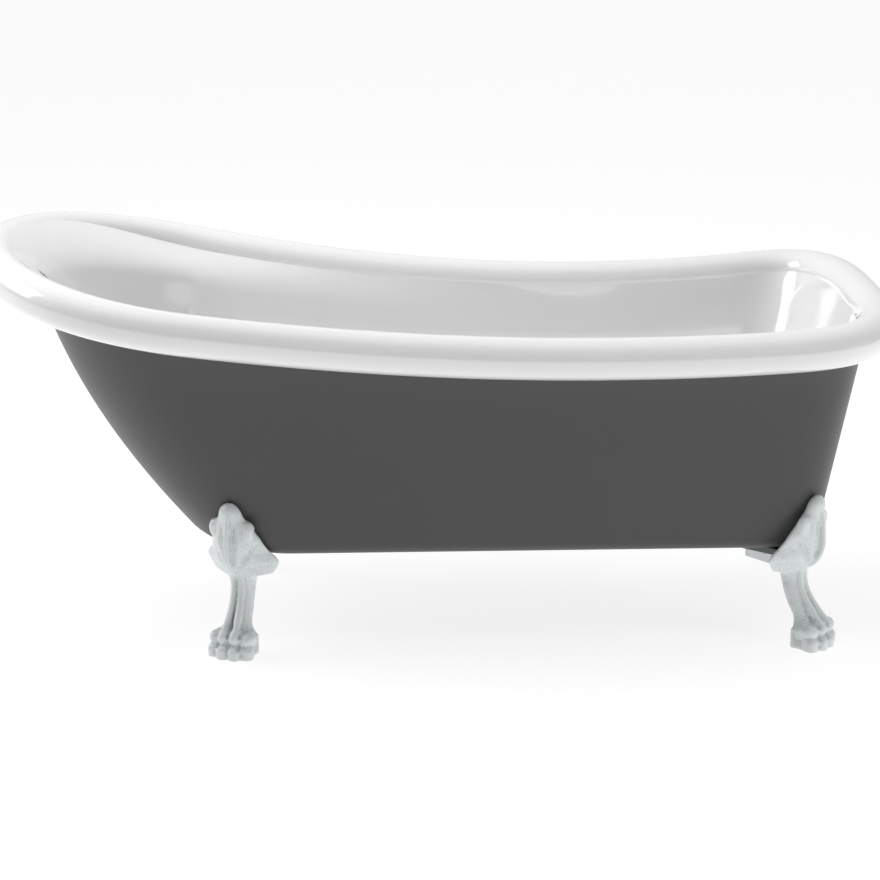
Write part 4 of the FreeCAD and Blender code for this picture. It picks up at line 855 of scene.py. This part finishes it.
# slot, material, two colours, least and most roughness, metal, pattern scale, grain in metres
SIMPLE = [
    ("chrome", "chrome_polish", (0.80, 0.81, 0.82), (0.86, 0.86, 0.87), 0.05, 0.11, 1.0, 9,
     0.00002),
    ("zinc", "zinc_plate", (0.50, 0.51, 0.52), (0.62, 0.62, 0.60), 0.28, 0.45, 1.0, 30, 0.00005),
    ("brass", "brass_turned", (0.62, 0.46, 0.20), (0.72, 0.55, 0.28), 0.22, 0.34, 1.0, 40, 0.00004),
    ("rubber", "rubber_black", (0.020, 0.020, 0.021), (0.032, 0.032, 0.033), 0.6, 0.8, 0.0, 60,
     0.0001),
    ("black_plastic", "pad_black", (0.025, 0.025, 0.026), (0.04, 0.04, 0.04), 0.45, 0.6, 0.0, 50,
     0.0001),
    ("white_plastic", "fitting_white", (0.70, 0.70, 0.68), (0.78, 0.78, 0.76), 0.35, 0.5, 0.0, 30,
     0.0001),
    ("board", "board_chip", (0.42, 0.30, 0.18), (0.62, 0.48, 0.32), 0.7, 0.9, 0.0, 90, 0.0004),
    ("bracket", "bracket_paint", (0.10, 0.115, 0.115), (0.14, 0.155, 0.155), 0.4, 0.55, 0.0, 40,
     0.0001),
]


def new_material(name, colour, roughness, metallic=0.0):
    """Material with the colour and roughness that it also has where nothing is linked."""
    material = bpy.data.materials.new(name)
    material.use_nodes = True
    tree = material.node_tree
    shader = tree.nodes["Principled BSDF"]
    shader.inputs["Base Color"].default_value = (*colour, 1.0)
    shader.inputs["Roughness"].default_value = roughness
    shader.inputs["Metallic"].default_value = metallic
    return material, tree, shader


def noise(tree, scale, detail=3.0):
    where = tree.nodes.new("ShaderNodeTexCoord")
    node = tree.nodes.new("ShaderNodeTexNoise")
    node.inputs["Scale"].default_value = scale
    node.inputs["Detail"].default_value = detail
    tree.links.new(where.outputs["Object"], node.inputs["Vector"])
    return node.outputs["Fac"]


def spread(tree, value, low, high):
    node = tree.nodes.new("ShaderNodeMapRange")
    node.inputs["To Min"].default_value = low
    node.inputs["To Max"].default_value = high
    tree.links.new(value, node.inputs["Value"])
    return node.outputs["Result"]


def tint(tree, value, first, second):
    node = tree.nodes.new("ShaderNodeMix")
    node.data_type = "RGBA"
    node.inputs["A"].default_value = (*first, 1.0)
    node.inputs["B"].default_value = (*second, 1.0)
    tree.links.new(value, node.inputs["Factor"])
    return node.outputs["Result"]


def bump(tree, shader, value, strength, distance):
    node = tree.nodes.new("ShaderNodeBump")
    node.inputs["Strength"].default_value = strength
    node.inputs["Distance"].default_value = distance
    tree.links.new(value, node.inputs["Height"])
    tree.links.new(node.outputs["Normal"], shader.inputs["Normal"])


def finish_surface(material, tree, shader, colours, rough, scale, bump_size):
    """Slow colour and gloss change, and a fine surface grain."""
    slow = noise(tree, scale, 2.0)
    tree.links.new(tint(tree, slow, *colours), shader.inputs["Base Color"])
    gloss = spread(tree, noise(tree, scale * GLOSS_SCALE), *rough)
    tree.links.new(gloss, shader.inputs["Roughness"])
    bump(tree, shader, noise(tree, scale * GRAIN_SCALE, 2.0), GRAIN_STRENGTH, bump_size)
    return material


def gloss_white():
    material, tree, shader = new_material("tub_gloss_white", (0.87, 0.87, 0.87), 0.08)
    shader.inputs["IOR"].default_value = 1.6
    shader.inputs["Coat Weight"].default_value = 1.0
    shader.inputs["Coat IOR"].default_value = 1.6
    shader.inputs["Coat Roughness"].default_value = 0.03
    return finish_surface(material, tree, shader, ((0.865, 0.868, 0.87), (0.88, 0.88, 0.88)),
                          (0.07, 0.12), 1.6, 0.00006)


def skin_grey():
    material, tree, shader = new_material("skin_satin_grey", (0.085, 0.085, 0.086), 0.42)
    shader.inputs["IOR"].default_value = 1.4
    shader.inputs["Specular IOR Level"].default_value = 0.35
    return finish_surface(material, tree, shader, ((0.083, 0.083, 0.084), (0.09, 0.09, 0.091)),
                          (0.40, 0.46), 2.2, 0.00010)


def foot_white():
    """Painted casting; painted shade darkens its creases a little."""
    material, tree, shader = new_material("foot_paint_white_and_crease_shade", (0.78, 0.82, 0.82), 0.3)
    finish_surface(material, tree, shader, ((0.74, 0.785, 0.79), (0.80, 0.835, 0.835)),
                   (0.24, 0.36), 12, 0.0002)
    paint = shader.inputs["Base Color"].links[0].from_socket
    # painted shade: the crease-depth attribute mixes a grey into the paint in the creases
    crease = tree.nodes.new("ShaderNodeAttribute")
    crease.attribute_name = "painted_shade_depth"
    node = tree.nodes.new("ShaderNodeMix")
    node.data_type = "RGBA"
    node.inputs["B"].default_value = (*CREASE_SHADE_COLOUR, 1.0)
    tree.links.new(spread(tree, crease.outputs["Fac"], 0.0, CREASE_SHADE_SHARE), node.inputs["Factor"])
    tree.links.new(paint, node.inputs["A"])
    tree.links.new(node.outputs["Result"], shader.inputs["Base Color"])
    return material


def node_materials():
    table = {}
    for slot, name, first, second, least, most, metallic, scale, grain in SIMPLE:
        material, tree, shader = new_material(name, first, least, metallic)
        table[slot] = finish_surface(material, tree, shader, (first, second), (least, most),
                                     scale, grain)
    table["tub_white"] = gloss_white()
    table["skin_grey"] = skin_grey()
    table["foot_white"] = foot_white()
    return table


def dress_nodes(table):
    """Gives each CAD node the material of its own slot."""
    slots = {entry["node"]: entry["material_slot"] for entry in frame["record"]["subparts"]}
    for name, obj in frame["nodes"].items():
        material = table[slots[name]]
        obj.data.materials.clear()
        obj.data.materials.append(material)


# ------------------------------------------------------------------ stage

# the white ground glows a little, so shadows on it stay faint
FLOOR_HALF = 14.0
FLOOR_GREY = 0.28
FLOOR_ROUGH = 0.85
FLOOR_GLOW = 0.81
# the room is dim where a direction's product with WORLD_LEAN is low
WORLD_LEAN = (-0.2, 1.0, 1.0)
WORLD_DIM_AT = 0.0
WORLD_FULL_AT = 1.2
WORLD_DIM = 0.0
WORLD_FULL = 0.8
# name, place, point that it faces, width, height, watts, and whether gloss mirrors it
SOFTBOXES = [
    ("softbox_top", (-1.0, -0.3, 3.2), (0.3, 0.1, 0.4), 3.0, 1.8, 58, False),
    ("softbox_left", (-3.4, 0.5, 2.2), (0.4, 0.0, 0.45), 2.2, 2.0, 44, True),
    ("softbox_right", (3.4, -2.2, 1.1), (0.6, 0.0, 0.45), 1.6, 1.2, 40, False),
]


def make_stage():
    corners = [(x * FLOOR_HALF, y * FLOOR_HALF, 0) for x, y in ((-1, -1), (1, -1), (1, 1), (-1, 1))]
    floor = mesh_object("stage_floor", corners, [(0, 1, 2, 3)], smooth=False)
    material, tree, shader = new_material("stage_white", (FLOOR_GREY,) * 3, FLOOR_ROUGH)
    shader.inputs["Specular IOR Level"].default_value = 0.1
    shader.inputs["Emission Color"].default_value = (1.0, 1.0, 1.0, 1.0)
    shader.inputs["Emission Strength"].default_value = FLOOR_GLOW
    floor.data.materials.append(material)


def make_world():
    """White room, dark on the camera's side and bright overhead and behind the bath."""
    world = bpy.data.worlds.new("studio")
    bpy.context.scene.world = world
    world.use_nodes = True
    tree = world.node_tree
    background = tree.nodes["Background"]
    background.inputs["Color"].default_value = (1.0, 1.0, 1.0, 1.0)
    where = tree.nodes.new("ShaderNodeTexCoord")
    lean = tree.nodes.new("ShaderNodeVectorMath")
    lean.operation = "DOT_PRODUCT"
    lean.inputs[1].default_value = WORLD_LEAN
    tree.links.new(where.outputs["Generated"], lean.inputs[0])
    ramp = tree.nodes.new("ShaderNodeMapRange")
    ramp.interpolation_type = "SMOOTHSTEP"
    ramp.inputs["From Min"].default_value = WORLD_DIM_AT
    ramp.inputs["From Max"].default_value = WORLD_FULL_AT
    ramp.inputs["To Min"].default_value = WORLD_DIM
    ramp.inputs["To Max"].default_value = WORLD_FULL
    tree.links.new(lean.outputs["Value"], ramp.inputs["Value"])
    tree.links.new(ramp.outputs["Result"], background.inputs["Strength"])


def make_lights():
    for name, place, aim, width, height, watts, in_gloss in SOFTBOXES:
        data = bpy.data.lights.new(name, "AREA")
        data.shape = "RECTANGLE"
        data.size = width
        data.size_y = height
        data.energy = watts
        light = bpy.data.objects.new(name, data)
        bpy.context.scene.collection.objects.link(light)
        light.location = place
        light.rotation_euler = (Vector(aim) - Vector(place)).to_track_quat("-Z", "Y").to_euler()
        light.visible_glossy = in_gloss


# ------------------------------------------------------------------ putting it together

def main():
    scene = bpy.context.scene
    scene.view_settings.view_transform = "Standard"
    make_camera()
    make_stage()
    make_world()
    make_lights()
    table = node_materials()
    dress_nodes(table)
    tub = make_tub()
    tub.data.materials.append(table["tub_white"])
    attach(tub, "root")
    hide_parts("inner_tub")
    skin = make_skin()
    skin.data.materials.append(table["skin_grey"])
    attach(skin, "root")
    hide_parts("outer_shell")
    for end in ("head", "tap"):
        for far in (False, True):
            foot = make_foot(end, far)
            foot.data.materials.append(table["foot_white"])
            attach(foot, "root")
            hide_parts("claw_foot_%s_%s" % (end, "far" if far else "near"))


main()
